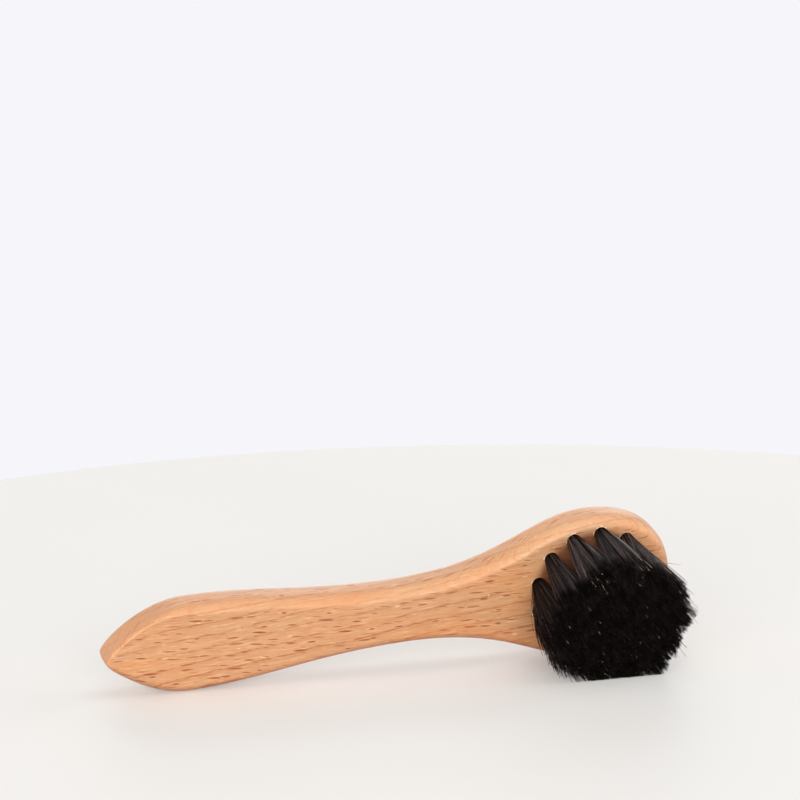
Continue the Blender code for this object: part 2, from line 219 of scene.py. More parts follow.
class Graph:
    """Short ways to make and link the nodes of one material or group."""

    def __init__(self, tree: bpy.types.NodeTree) -> None:
        """Start with an empty tree."""
        self.tree = tree
        tree.nodes.clear()

    def node(self, kind: str, inputs: dict | None = None, **settings) -> bpy.types.Node:
        """Add one node.

        Args:
            kind: Blender's name of the node, without the leading ShaderNode.
            inputs: values or sockets, by the input's name or number.
            settings: the node's own properties.

        Returns:
            The node.
        """
        made = self.tree.nodes.new(kind if kind.startswith("Node") else "ShaderNode" + kind)
        for name, value in settings.items():
            setattr(made, name, value)
        for name, value in (inputs or {}).items():
            self.plug(value, made.inputs[name])
        return made

    def plug(self, value: "Socket | float | tuple", into: Socket) -> None:
        """Link a socket, or write a value, into an input.

        Args:
            value: a socket, or what the input's own value becomes.
            into: the input.
        """
        if isinstance(value, Socket):
            self.tree.links.new(value, into)
        elif isinstance(value, tuple) and into.type == "RGBA":
            into.default_value = (*value, 1.0)
        else:
            into.default_value = value

    def math(self, operation: str, *values: "Socket | float") -> Socket:
        """One sum of up to three numbers or sockets, by Blender's name of the sum."""
        return self.node("Math", dict(enumerate(values)), operation=operation).outputs[0]

    def scaled(self, vector: Socket, scale: "float | tuple") -> Socket:
        """A vector times one number, or times a number for each axis.

        Args:
            vector: what is scaled.
            scale: the number, or the three numbers.

        Returns:
            The scaled vector's socket.
        """
        if isinstance(scale, tuple):
            made = self.node("VectorMath", {0: vector, 1: scale}, operation="MULTIPLY")
        else:
            made = self.node("VectorMath", {0: vector, "Scale": scale}, operation="SCALE")
        return made.outputs[0]

    def parts(self, vector: Socket) -> tuple[Socket, Socket, Socket]:
        """The three numbers of a vector."""
        made = self.node("SeparateXYZ", {0: vector})
        return made.outputs[0], made.outputs[1], made.outputs[2]

    def dot(self, first: Socket, second: Socket) -> Socket:
        """How far two directions agree, from -1 to 1."""
        made = self.node("VectorMath", {0: first, 1: second}, operation="DOT_PRODUCT")
        return made.outputs["Value"]

    def seen(self) -> Socket:
        """Tell what is looked at from what only lights other things.

        Returns:
            A socket that is 1 for the camera, mirrors and glass, and 0 for all other light.
        """
        rays = self.node("LightPath").outputs
        mirrored = self.math("MAXIMUM", rays["Is Glossy Ray"], rays["Is Transmission Ray"])
        return self.math("MAXIMUM", rays["Is Camera Ray"], mirrored)

    def joined(self, x: "Socket | float", y: "Socket | float", z: "Socket | float" = 0.0) -> Socket:
        """A vector of three numbers."""
        return self.node("CombineXYZ", {0: x, 1: y, 2: z}).outputs[0]

    def noise(self, vector: Socket, scale: "Socket | float", detail: float = 2.0) -> bpy.types.Node:
        """Soft noise from 0 to 1, with scale waves to one unit and detail finer layers on them."""
        return self.node("TexNoise", {"Vector": vector, "Scale": scale, "Detail": detail})

    def ramp(self, value: Socket, low: float, high: float, start: float = 0.0,
             end: float = 1.0) -> Socket:
        """A smooth rise between two values.

        Args:
            value: what is read.
            low: the value at which the rise starts.
            high: the value at which it ends.
            start: the result at and under low.
            end: the result at and over high.

        Returns:
            The result's socket.
        """
        made = self.node("MapRange", {"Value": value, 1: low, 2: high, 3: start, 4: end},
                         interpolation_type="SMOOTHSTEP")
        return made.outputs[0]

    def mix(self, share: "Socket | float", first: "Socket | Colour",
            second: "Socket | Colour") -> Socket:
        """The first colour with a share of the second over it."""
        made = self.node("Mix", {0: share, 6: first, 7: second}, data_type="RGBA")
        return made.outputs[2]


class EffectGroup:
    """A shader node group with named sockets, built once and placed in many materials."""

    name = "effect"
    takes: dict[str, object] = {}
    gives: dict[str, str] = {}
    kinds = {float: "NodeSocketFloat", str: "NodeSocketVector", tuple: "NodeSocketColor"}

    def __init__(self) -> None:
        """Build the group's sockets, then its nodes."""
        tree = bpy.data.node_groups.new(self.name, "ShaderNodeTree")
        for label, value in self.takes.items():
            kind = self.kinds[type(value)]
            socket = tree.interface.new_socket(label, in_out="INPUT", socket_type=kind)
            if not isinstance(value, str):
                socket.default_value = (*value, 1.0) if isinstance(value, tuple) else value
        for label, kind in self.gives.items():
            tree.interface.new_socket(label, in_out="OUTPUT", socket_type=kind)
        graph = Graph(tree)
        entry = graph.node("NodeGroupInput")
        leave = graph.node("NodeGroupOutput")
        self.build(graph, {s.name: s for s in entry.outputs if s.name},
                   {s.name: s for s in leave.inputs if s.name})
        self.tree = tree

    def build(self, graph: Graph, takes: dict[str, Socket], gives: dict[str, Socket]) -> None:
        """Make the nodes between the group's inputs and outputs."""
        raise NotImplementedError

    def place(self, graph: Graph, **inputs: object) -> bpy.types.Node:
        """Put the group into a material.

        Args:
            graph: the material's graph.
            inputs: values or sockets by the socket's name, in small letters with _ for a space.

        Returns:
            The group's node.
        """
        made = graph.node("Group", node_tree=self.tree)
        for label, value in inputs.items():
            graph.plug(value, made.inputs[label.replace("_", " ").title()])
        return made


class Mottle(EffectGroup):
    """Soft uneven tone that a handled thing has all over."""

    name = "mottle"
    takes = {"Vector": "vector", "Size": 10.0, "Low": 0.0, "High": 1.0}
    gives = {"Value": "NodeSocketFloat"}

    def build(self, graph: Graph, takes: dict[str, Socket], gives: dict[str, Socket]) -> None:
        """Noise with waves of Size millimetres, put between Low and High.

        Args:
            graph: the group's graph.
            takes: the group's inputs, by name.
            gives: the group's outputs, by name.
        """
        waves = graph.math("DIVIDE", 1 / MM, takes["Size"])
        noise = graph.noise(takes["Vector"], waves, 3.0)
        made = graph.node("MapRange", {"Value": noise.outputs[0], 1: 0.3, 2: 0.7, 3: takes["Low"],
                                       4: takes["High"]})
        graph.plug(made.outputs[0], gives["Value"])


@dataclass(frozen=True)
class RayKind:
    """One kind of mark that the wood's rays leave, in millimetres."""

    cell_length: float
    cell_width: float
    half_length: float
    half_width: float
    least_shade: float


class Rays(EffectGroup):
    """The wood's rays: thin ribbons that a cut shows as short spindles along the grain."""

    name = "wood_rays"
    takes = {"Along": 0.0, "Tangent": 0.0, "Cell Length": 8.0, "Cell Width": 3.0,
             "Half Length": 1.7, "Half Width": 0.2, "Least Shade": 0.3}
    gives = {"Mask": "NodeSocketFloat"}
    least_length = 0.45
    least_width = 0.5

    def build(self, graph: Graph, takes: dict[str, Socket], gives: dict[str, Socket]) -> None:
        """One spindle in each cell of a Voronoi pattern, all in millimetres.

        Args:
            graph: the group's graph.
            takes: the group's inputs, by name.
            gives: the group's outputs, by name.
        """
        spot = graph.joined(graph.math("DIVIDE", takes["Along"], takes["Cell Length"]),
                            graph.math("DIVIDE", takes["Tangent"], takes["Cell Width"]))
        cells = graph.node("TexVoronoi", {"Vector": spot, "Scale": 1.0, "Randomness": 1.0},
                           voronoi_dimensions="2D", feature="F1")
        off = graph.node("VectorMath", {0: spot, 1: cells.outputs["Position"]}, operation="SUBTRACT")
        x, y, _ = graph.parts(off.outputs[0])
        along = graph.math("MULTIPLY", x, takes["Cell Length"])
        across = graph.math("MULTIPLY", y, takes["Cell Width"])
        chance = graph.node("SeparateColor", {0: cells.outputs["Color"]})
        longer = graph.math("ADD", chance.outputs[0], self.least_length)
        wider = graph.math("ADD", chance.outputs[1], self.least_width)
        half_length = graph.math("MULTIPLY", takes["Half Length"], longer)
        half_width = graph.math("MULTIPLY", takes["Half Width"], wider)
        out = graph.math("ABSOLUTE", graph.math("DIVIDE", along, half_length))
        sideways = graph.math("ABSOLUTE", graph.math("DIVIDE", across, half_width))
        left = graph.math("SUBTRACT", 1.0, graph.math("POWER", out, 2.0))
        body = graph.math("SUBTRACT", left, sideways)
        more = graph.math("SUBTRACT", 1.0, takes["Least Shade"])
        shade = graph.math("MULTIPLY_ADD", chance.outputs[2], more, takes["Least Shade"])
        graph.plug(graph.math("MULTIPLY", graph.ramp(body, 0.0, 0.5), shade), gives["Mask"])


@dataclass(frozen=True)
class BeechFinish:
    """Beech under satin varnish, in sRGB tones and millimetres."""

    name: str = "varnished_beech"
    early_wood: Colour = srgb(199, 149, 107)
    late_wood: Colour = srgb(169, 104, 63)
    ray: Colour = srgb(148, 70, 36)
    flat_ray: Colour = srgb(206, 112, 50)
    pale_ray: Colour = srgb(244, 206, 164)
    warm: Colour = srgb(207, 139, 86)
    # painted sheen: wood that faces up is painted lighter and warmer, towards this tone by this share
    sheen_tone: Colour = srgb(248, 184, 134)
    sheen: float = 0.26
    pale_head: float = 0.12
    end_tone: Colour = srgb(242, 164, 110)
    end_share: float = 0.35
    # painted shade: the face between the tufts is painted darker, towards this colour, round this
    # centre
    stain: Colour = srgb(112, 54, 32)
    stain_centre: tuple[float, float, float] = (145.4, -5.75, 0.0)
    roughness: float = 0.42
    specular: float = 0.28
    coat: float = 0.24
    coat_roughness: float = 0.26
    ray_turn: float = math.radians(-6.5)
    ray_bend: float = 0.00074
    bend_from: float = 60.0
    ring_turn: float = math.radians(4.5)
    ray_slant: float = math.radians(45)
    ring_width: float = 2.7
    bump: float = 0.35
    bump_height: float = 0.04 * MM
    handled_size: float = 14.0
    handled: Range = (-0.05, 0.06)
    marks_duller: float = 0.08


@dataclass(frozen=True)
class GrainPlace:
    """A point of the board by the tree that it was sawn from, in millimetres."""

    along: Socket
    straight: Socket
    run: Socket
    tangent: Socket
    radial: Socket


class BeechFigure(EffectGroup):
    """Growth rings, rays, fibre and pores of beech, cut from one solid pattern.

    The wood is painted lighter and warmer where it faces up, as a painted sheen, and is warm
    where its end grain faces the tip. It is painted darker underneath and between the tufts,
    as painted shade. The noises are sized along the grain, round the rings and out of the heart.
    """

    name = "beech_figure"
    from_finish = ("early_wood", "late_wood", "ray", "flat_ray", "pale_ray", "warm", "sheen_tone",
                   "sheen", "pale_head", "end_tone", "end_share", "stain", "ray_turn", "ray_bend",
                   "bend_from", "ring_turn", "ray_slant", "ring_width")
    takes = {"Vector": "vector", "Ray Plane": "vector", "Up": "vector", "Grain": "vector",
             "Stain Centre": "vector"}
    takes |= {part.replace("_", " ").title(): getattr(BeechFinish, part) for part in from_finish}
    gives = {"Color": "NodeSocketColor", "Marks": "NodeSocketFloat", "Height": "NodeSocketFloat"}

    fibre = (9.0, 0.5, 0.5)
    jag = (4.5, 0.4, 3.0)
    dash = (2.4, 0.4, 0.8)
    patch = (34.0, 9.0, 9.0)
    pore = (1.4, 0.13, 0.13)
    fray = (0.8, 0.25)
    drift_waves = 0.03
    drift_reach = (2.0, 2.0, 5.0)
    jag_reach = 0.6
    fray_reach = 0.10

    large_rays = RayKind(6.4, 1.9, 2.1, 0.19, 0.55)
    small_rays = RayKind(4.3, 1.3, 1.2, 0.10, 0.1)
    pale_rays = RayKind(13.0, 5.0, 1.0, 0.17, 0.2)
    pale_offset = 31.0
    small_strength = 0.5
    pale_strength = 0.55
    pore_strength = 0.22
    ring_tone = 0.22
    line_least = 0.45
    line_more = 0.45
    fibre_height = 0.5
    mark_depth = 0.5
    pore_depth = 0.6

    line_starts: Rise = (0.45, 0.95, 0.0, 0.4)
    line_deepens: Rise = (0.82, 0.94, 0.0, 1.0)
    line_ends: Rise = (0.95, 1.0, 1.0, 0.0)
    line_dashed: Rise = (0.38, 0.62, 0.55, 1.25)
    warm_patches: Rise = (0.42, 0.72, 0.0, 0.55)
    dark_fibre: Rise = (0.5, 0.78, 0.0, 0.34)
    pale_fibre: Rise = (0.5, 0.24, 0.0, 0.30)
    pore_opens: Rise = (0.62, 0.74, 0.0, 1.0)
    head_above: Rise = (11.0, 19.0, 0.0, 1.0)
    head_starts: Rise = (105.0, 135.0, 0.0, 1.0)
    head_ends: Rise = (152.0, 162.0, 1.0, 0.0)
    # painted sheen: how far the wood must face up before it is painted lighter
    bright_above: Rise = (0.1, 0.7, 0.0, 1.0)
    end_shows: Rise = (0.25, 0.7, 0.0, 1.0)
    marks_fade_at_ends: Rise = (0.35, 0.85, 1.0, 0.3)
    marks_fade_flat: Rise = (0.78, 0.92, 1.0, 0.25)
    flat_rays_show: Rise = (0.80, 0.96, 0.0, 1.0)
    # ray marks painted lighter where the wood faces up
    flat_rays_above: Rise = (0.1, 0.6, 0.0, 0.6)
    # painted shade between the tufts: how far from the head's middle, and only on the face
    stain_round_head: Rise = (16.6, 19.7, 0.8, 0.0)
    stain_on_face: Rise = (-5.5, -5.7, 0.0, 1.0)
    # painted shade: how far the wood must face down before it is painted darker
    dark_under: Rise = (-0.1, -0.7, 0.0, 0.35)

    def __init__(self, rays: Rays) -> None:
        """Keep the rays' group, which this one holds."""
        self.rays = rays
        super().__init__()

    def turned(self, graph: Graph, vector: Socket, turn: Socket) -> tuple[Socket, Socket, Socket]:
        """The numbers of a vector turned about the board's own normal."""
        made = graph.node("VectorRotate", {"Vector": vector, "Angle": turn}, rotation_type="Y_AXIS")
        return graph.parts(made.outputs[0])

    def grained(self, graph: Graph, ways: tuple[Socket, ...], sizes: tuple[float, ...],
                detail: float) -> Socket:
        """Soft noise with its own length of wave along each way of the wood, in millimetres."""
        shares = [graph.math("DIVIDE", way, size) for way, size in zip(ways, sizes)]
        return graph.noise(graph.joined(*shares), 1.0, detail).outputs[0]

    def grain_place(self, graph: Graph, place: Socket, takes: dict[str, Socket]) -> GrainPlace:
        """Where a point of the board lay in the tree.

        Args:
            graph: the group's graph.
            place: the point, in millimetres of the drawing.
            takes: the group's inputs, by name.

        Returns:
            The point along the grain, round the rings and out of the heart.
        """
        drift = graph.noise(place, self.drift_waves).outputs[1]
        centred = graph.node("VectorMath", {0: drift, 1: (0.5, 0.5, 0.5)}, operation="SUBTRACT")
        moved = graph.scaled(centred.outputs[0], self.drift_reach)
        drifted = graph.node("VectorMath", {0: moved, 1: place}, operation="ADD").outputs[0]
        sine = graph.math("SINE", takes["Ray Slant"])
        cosine = graph.math("COSINE", takes["Ray Slant"])
        along, depth, straight = self.turned(graph, drifted, takes["Ray Turn"])
        past = graph.math("MAXIMUM", graph.math("SUBTRACT", along, takes["Bend From"]), 0.0)
        bend = graph.math("MULTIPLY", graph.math("MULTIPLY", past, past), takes["Ray Bend"])
        across = graph.math("SUBTRACT", straight, bend)
        tangent = graph.math("SUBTRACT", graph.math("MULTIPLY", across, cosine),
                             graph.math("MULTIPLY", depth, sine))
        run, _, rise = self.turned(graph, drifted, takes["Ring Turn"])
        radial = graph.math("ADD", graph.math("MULTIPLY", rise, sine),
                            graph.math("MULTIPLY", depth, cosine))
        return GrainPlace(along, straight, run, tangent, radial)

    def growth(self, graph: Graph, spot: GrainPlace, takes: dict[str, Socket]) -> Socket:
        """Growth rings: pale early wood, and a dashed dark line of late wood where each ends.

        Args:
            graph: the group's graph.
            spot: the point in the tree.
            takes: the group's inputs, by name.

        Returns:
            The colour's socket.
        """
        ways = (spot.along, spot.tangent, spot.radial)
        jag = graph.math("SUBTRACT", self.grained(graph, ways, self.jag, 2.0), 0.5)
        jagged = graph.math("MULTIPLY_ADD", jag, self.jag_reach, spot.radial)
        phase = graph.math("DIVIDE", jagged, takes["Ring Width"])
        share = graph.math("FRACT", phase)
        number = graph.math("FLOOR", phase)
        chance = graph.node("TexWhiteNoise", {"W": number}, noise_dimensions="1D").outputs[0]
        edge = graph.math("ADD", graph.ramp(share, *self.line_starts),
                          graph.ramp(share, *self.line_deepens))
        line = graph.math("MULTIPLY", edge, graph.ramp(share, *self.line_ends))
        dashes = self.grained(graph, ways, self.dash, 1.0)
        dashed = graph.math("MULTIPLY", line, graph.ramp(dashes, *self.line_dashed))
        strength = graph.math("MULTIPLY_ADD", chance, self.line_more, self.line_least)
        strong = graph.math("MULTIPLY", dashed, strength)
        bands = graph.math("MULTIPLY_ADD", chance, self.ring_tone, strong)
        return graph.mix(bands, takes["Early Wood"], takes["Late Wood"])

    def marks(self, graph: Graph, spot: GrainPlace) -> list[Socket]:
        """Masks of the large, the small and the pale ray marks.

        Args:
            graph: the group's graph.
            spot: the point in the tree.

        Returns:
            The three masks' sockets, from 0 to 1.
        """
        fray = self.grained(graph, (spot.along, spot.tangent), self.fray, 1.0)
        frayed = graph.math("MULTIPLY_ADD", graph.math("SUBTRACT", fray, 0.5), self.fray_reach,
                            spot.tangent)
        further = graph.math("ADD", spot.along, self.pale_offset)
        kinds = ((spot.along, self.large_rays), (spot.along, self.small_rays),
                 (further, self.pale_rays))
        return [self.rays.place(graph, along=along, tangent=frayed, **asdict(kind)).outputs[0]
                for along, kind in kinds]

    def build(self, graph: Graph, takes: dict[str, Socket], gives: dict[str, Socket]) -> None:
        """Lay the wood's tones over each other, then its marks and its painted shade.

        Args:
            graph: the group's graph.
            takes: the group's inputs, by name.
            gives: the group's outputs, by name.
        """
        place = graph.scaled(takes["Vector"], 1 / MM)
        spot = self.grain_place(graph, place, takes)
        ways = (spot.along, spot.tangent, spot.radial)
        fibre = self.grained(graph, ways, self.fibre, 4.0)
        pore = graph.ramp(self.grained(graph, ways, self.pore, 1.0), *self.pore_opens)
        patches = self.grained(graph, (spot.run, spot.tangent, spot.radial), self.patch, 2.0)
        normal = graph.node("NewGeometry").outputs["Normal"]
        slant = graph.math("ABSOLUTE", graph.dot(normal, takes["Ray Plane"]))
        rising = graph.dot(normal, takes["Up"])
        ending = graph.dot(normal, takes["Grain"])

        wood = self.growth(graph, spot, takes)
        wood = graph.mix(graph.ramp(patches, *self.warm_patches), wood, takes["Warm"])
        wood = graph.mix(graph.ramp(fibre, *self.dark_fibre), wood, takes["Late Wood"])
        wood = graph.mix(graph.ramp(fibre, *self.pale_fibre), wood, takes["Pale Ray"])
        # Painted sheen: wood that faces up is painted lighter and warmer.
        painted_sheen_share = graph.math("MULTIPLY", graph.ramp(rising, *self.bright_above), takes["Sheen"])
        wood = graph.mix(painted_sheen_share, wood, takes["Sheen Tone"])
        high = graph.math("MULTIPLY", graph.ramp(spot.straight, *self.head_above),
                          graph.ramp(spot.along, *self.head_starts))
        high = graph.math("MULTIPLY", high, graph.ramp(spot.along, *self.head_ends))
        wood = graph.mix(graph.math("MULTIPLY", high, takes["Pale Head"]), wood, takes["Pale Ray"])
        wood = graph.mix(graph.math("MULTIPLY", pore, self.pore_strength), wood, takes["Ray"])
        tipward = graph.ramp(graph.math("MULTIPLY", ending, -1.0), *self.end_shows)
        wood = graph.mix(graph.math("MULTIPLY", tipward, takes["End Share"]), wood, takes["End Tone"])

        large, small, pale = self.marks(graph, spot)
        # Ray marks take the flat ray colour where the cut lies along them, and are painted lighter
        # where the wood faces up.
        flat_cut_or_painted_light = graph.math("MAXIMUM", graph.ramp(slant, *self.flat_rays_show),
                         graph.ramp(rising, *self.flat_rays_above))
        ray = graph.mix(flat_cut_or_painted_light, takes["Ray"], takes["Flat Ray"])
        faded = graph.ramp(graph.math("ABSOLUTE", ending), *self.marks_fade_at_ends)
        large = graph.math("MULTIPLY", large, graph.ramp(slant, *self.marks_fade_flat))
        large = graph.math("MULTIPLY", large, faded)
        small = graph.math("MULTIPLY", small, faded)
        wood = graph.mix(graph.math("MULTIPLY", small, self.small_strength), wood, ray)
        wood = graph.mix(graph.math("MULTIPLY", pale, self.pale_strength), wood, takes["Pale Ray"])
        wood = graph.mix(large, wood, ray)

        # Painted shade: the face round the head, between the tufts, is painted darker.
        off = graph.node("VectorMath", {0: place, 1: takes["Stain Centre"]}, operation="DISTANCE")
        near = graph.ramp(off.outputs["Value"], *self.stain_round_head)
        on_face = graph.ramp(graph.parts(place)[1], *self.stain_on_face)
        wood = graph.mix(graph.math("MULTIPLY", near, on_face), wood, takes["Stain"])
        # Painted shade: the underside is painted darker, towards the ray colour.
        wood = graph.mix(graph.ramp(rising, *self.dark_under), wood, takes["Ray"])
        graph.plug(wood, gives["Color"])
        graph.plug(large, gives["Marks"])
        pitted = graph.math("MULTIPLY", pore, self.pore_depth)
        sunk = graph.math("MULTIPLY_ADD", large, self.mark_depth, pitted)
        raised = graph.math("MULTIPLY", fibre, self.fibre_height)
        graph.plug(graph.math("SUBTRACT", raised, sunk), gives["Height"])


@dataclass(frozen=True)
class HairFinish:
    """Dyed horsehair: black, with a few brown, grey and pale hairs.

    The rises along a hair run from 0 at the hole to 1 at the tip.
    """

    name: str = "black_hair"
    black: Colour = (0.0020, 0.0019, 0.0020)
    brown: Colour = (0.058, 0.031, 0.027)
    grey: Colour = (0.27, 0.23, 0.21)
    pale: Colour = (0.55, 0.44, 0.34)
    shine: Colour = (1.0, 0.68, 0.64)
    roughness: float = 0.30
    duller_when_brown: float = 0.16
    stem_specular: float = 0.44
    tip_specular: float = 0.05
    plain_specular: float = 0.16
    streak_least: float = 0.16
    streak_more: float = 2.4
    patch_size: float = 1.2
    patch_least: float = 0.2
    # brown and grey fade to black near the tips: painted shade of the trimmed face
    brown_along: Rise = (0.78, 0.99, 1.0, 0.15)
    grey_ends: Rise = (0.84, 0.97, 0.0, 0.85)
    kind_is_light: Rise = (0.15, 0.4, 0.0, 1.0)
    kind_is_pale: Rise = (0.6, 1.0, 0.0, 1.0)
    out_of_hole: Rise = (0.04, 0.42, 0.16, 1.0)
    tip_from: Range = (0.86, 0.99)
    scale_waves: float = 260.0
    bump: float = 0.15
    bump_height: float = 0.01 * MM


@dataclass(frozen=True)
class WireFinish:
    """Drawn steel wire with fine lines along it."""

    name: str = "staple_wire"
    steel: Colour = (0.56, 0.55, 0.53)
    worn: Colour = (0.34, 0.31, 0.28)
    roughness: float = 0.30
    duller: float = 0.25
    dull_size: float = 1.5
    most_dull: float = 0.6
    lines: tuple[float, float, float] = (9000.0, 900.0, 9000.0)
    bump: float = 0.3
    bump_height: float = 0.01 * MM


@dataclass(frozen=True)
class TableFinish:
    """Plain pale table top. A share of what is seen is its plain tone, which softens shadows."""

    name: str = "pale_table"
    colour: Colour = srgb(247, 244, 240)
    shade: Colour = srgb(244, 241, 237)
    lightened: Colour = srgb(242, 240, 236)
    lightened_share: float = 0.25
    roughness: float = 0.55
    specular: float = 0.2
    patch_size: float = 160.0


class Finishes:
    """Makes each material once, from the shared effects."""

    def __init__(self, lie: Lie) -> None:
        """Build the effect groups, then the materials that use them.

        Args:
            lie: how the brush lies, which turns the patterns with it.
        """
        self.lie = lie
        self.mottle = Mottle()
        self.figure = BeechFigure(Rays())
        self.beech = self.make_beech(BeechFinish())
        self.bare_beech = self.make_beech(BeechFinish(
            name="bare_beech", early_wood=srgb(240, 218, 194), late_wood=srgb(226, 190, 156),
            warm=srgb(234, 206, 176), stain=srgb(214, 180, 150), roughness=0.8, coat=0.0))
        self.hair = self.make_hair(HairFinish())
        self.wire = self.make_wire(WireFinish())
        self.table = self.make_table(TableFinish())

    def start(self, name: str) -> tuple[bpy.types.Material, Graph, bpy.types.Node]:
        """A material with nothing but a shader and its output.

        Args:
            name: the material's name.

        Returns:
            The material, its graph and its Principled shader.
        """
        material = bpy.data.materials.new(name)
        material.use_nodes = True
        graph = Graph(material.node_tree)
        shader = graph.node("BsdfPrincipled")
        output = graph.node("OutputMaterial")
        graph.plug(shader.outputs[0], output.inputs["Surface"])
        return material, graph, shader

    def bump(self, graph: Graph, shader: bpy.types.Node, height: Socket,
             finish: "BeechFinish | HairFinish | WireFinish") -> None:
        """Raise a shader's surface by a pattern.

        Args:
            graph: the material's graph.
            shader: its Principled shader.
            height: the pattern.
            finish: gives how strong and how high it is.
        """
        made = graph.node("Bump", {"Strength": finish.bump, "Distance": finish.bump_height,
                                   "Height": height})
        graph.plug(made.outputs[0], shader.inputs["Normal"])

    def facing(self, x: float, y: float, z: float) -> Vector:
        """A direction of the drawing, in the frame."""
        return self.lie.matrix.to_3x3() @ Vector((x, y, z))

    def make_beech(self, finish: BeechFinish) -> bpy.types.Material:
        """Beech, whose pattern lies along the board.

        Args:
            finish: its tones and sizes.

        Returns:
            The material.
        """
        material, graph, shader = self.start(finish.name)
        place = self.lie.read_back(graph)
        flat = self.facing(0, -math.sin(finish.ray_slant), math.cos(finish.ray_slant))
        own = {part: getattr(finish, part) for part in BeechFigure.from_finish}
        figure = self.figure.place(
            graph, vector=place, ray_plane=flat, up=self.facing(0, 0, 1),
            grain=self.facing(1, 0, 0), stain_centre=finish.stain_centre, **own)
        handled = self.mottle.place(graph, vector=place, size=finish.handled_size,
                                    low=finish.handled[0], high=finish.handled[1])
        marked = graph.math("MULTIPLY_ADD", figure.outputs["Marks"], finish.marks_duller,
                            finish.roughness)
        graph.plug(figure.outputs["Color"], shader.inputs["Base Color"])
        graph.plug(graph.math("ADD", marked, handled.outputs[0]), shader.inputs["Roughness"])
        shader.inputs["Specular IOR Level"].default_value = finish.specular
        shader.inputs["Coat Weight"].default_value = finish.coat
        shader.inputs["Coat Roughness"].default_value = finish.coat_roughness
        self.bump(graph, shader, figure.outputs["Height"], finish)
        return material

    def make_hair(self, finish: HairFinish) -> bpy.types.Material:
        """Hair, which reads what is written on each: red its tone, green its kind, blue how far out.

        Args:
            finish: its colours and shine.

        Returns:
            The material.
        """
        material, graph, shader = self.start(finish.name)
        written = graph.node("Attribute", attribute_name=Hair.ATTRIBUTE)
        tone, kind, along = graph.node("SeparateColor", {0: written.outputs["Color"]}).outputs[:3]
        place = graph.node("TexCoord").outputs["Object"]
        patchy = self.mottle.place(graph, vector=place, size=finish.patch_size,
                                   low=finish.patch_least, high=1.0).outputs[0]
        # Brown and grey are painted darker near the tips, as painted shade of the trimmed face.
        browned = graph.math("MULTIPLY", graph.math("MULTIPLY", tone, patchy),
                             graph.ramp(along, *finish.brown_along))
        dark = graph.mix(browned, finish.black, finish.brown)
        greyed = graph.mix(graph.ramp(along, *finish.grey_ends), finish.grey, finish.black)
        light = graph.mix(graph.ramp(kind, *finish.kind_is_pale), greyed, finish.pale)
        colour = graph.mix(graph.ramp(kind, *finish.kind_is_light), dark, light)
        graph.plug(colour, shader.inputs["Base Color"])
        duller = graph.math("MULTIPLY_ADD", tone, finish.duller_when_brown, finish.roughness)
        graph.plug(duller, shader.inputs["Roughness"])
        glint = graph.ramp(along, *finish.tip_from, finish.stem_specular, finish.tip_specular)
        deep = graph.ramp(along, *finish.out_of_hole)
        streaked = graph.math("MULTIPLY_ADD", tone, finish.streak_more, finish.streak_least)
        shine = graph.math("MULTIPLY", graph.math("MULTIPLY", glint, deep), streaked)
        shader.inputs["Specular IOR Level"].default_value = finish.plain_specular
        graph.plug(shine, shader.inputs["Specular IOR Level"])
        shader.inputs["Specular Tint"].default_value = (*finish.shine, 1.0)
        scales = graph.math("SINE", graph.math("MULTIPLY", along, finish.scale_waves))
        self.bump(graph, shader, scales, finish)
        return material

    def make_wire(self, finish: WireFinish) -> bpy.types.Material:
        """Steel with drawn lines and dull patches.

        Args:
            finish: its colours and sizes.

        Returns:
            The material.
        """
        material, graph, shader = self.start(finish.name)
        place = graph.node("TexCoord").outputs["Object"]
        lines = graph.noise(graph.scaled(place, finish.lines), 1.0).outputs[0]
        dull = self.mottle.place(graph, vector=place, size=finish.dull_size, low=0.0,
                                 high=finish.most_dull).outputs[0]
        graph.plug(graph.mix(dull, finish.steel, finish.worn), shader.inputs["Base Color"])
        duller = graph.math("MULTIPLY_ADD", dull, finish.duller, finish.roughness)
        graph.plug(duller, shader.inputs["Roughness"])
        shader.inputs["Metallic"].default_value = 1.0
        self.bump(graph, shader, lines, finish)
        return material

    def make_table(self, finish: TableFinish) -> bpy.types.Material:
        """Pale table top with the faintest uneven tone, lightened a little where it is seen.

        Args:
            finish: its colours.

        Returns:
            The material.
        """
        material, graph, shader = self.start(finish.name)
        place = graph.node("TexCoord").outputs["Object"]
        uneven = self.mottle.place(graph, vector=place, size=finish.patch_size).outputs[0]
        graph.plug(graph.mix(uneven, finish.colour, finish.shade), shader.inputs["Base Color"])
        shader.inputs["Roughness"].default_value = finish.roughness
        shader.inputs["Specular IOR Level"].default_value = finish.specular
        glow = graph.node("Emission", {"Color": finish.lightened, "Strength": 1.0})
        share = graph.math("MULTIPLY", graph.seen(), finish.lightened_share)
        both = graph.node("MixShader", {0: share, 1: shader.outputs[0], 2: glow.outputs[0]})
        graph.plug(both.outputs[0], shader.outputs[0].links[0].to_socket)
        return material


@dataclass(frozen=True)
class HoleRings:
    """The holes in the head: where each stands and what it is called."""

    head_station: float = 0.1454
    outer_radius: float = 0.0175
    pitch: float = 0.0081
    outer_count: int = 13
    middle_count: int = 7
    outer_turn: float = math.radians(193.8)
    middle_turn: float = math.radians(206.0)

    @property
    def centre(self) -> np.ndarray:
        """Middle of the head, as X and Z."""
        return np.array([self.head_station, 0.0])

    def roots(self) -> dict[str, np.ndarray]:
        """Where each tuft stands: outer ring, middle ring and centre.

        Returns:
            The hole's centre, as X and Z, by the tuft's name.
        """
        found = {}
        rings = (("outer", self.outer_count, self.outer_radius, self.outer_turn),
                 ("middle", self.middle_count, self.outer_radius - self.pitch, self.middle_turn),
                 ("centre", 1, 0.0, 0.0))
        for label, count, radius, turn in rings:
            for i in range(count):
                angle = turn - math.tau * i / count
                way = np.array([math.cos(angle), math.sin(angle)])
                found[f"{label}_{i + 1:02d}"] = self.centre + radius * way
        return found


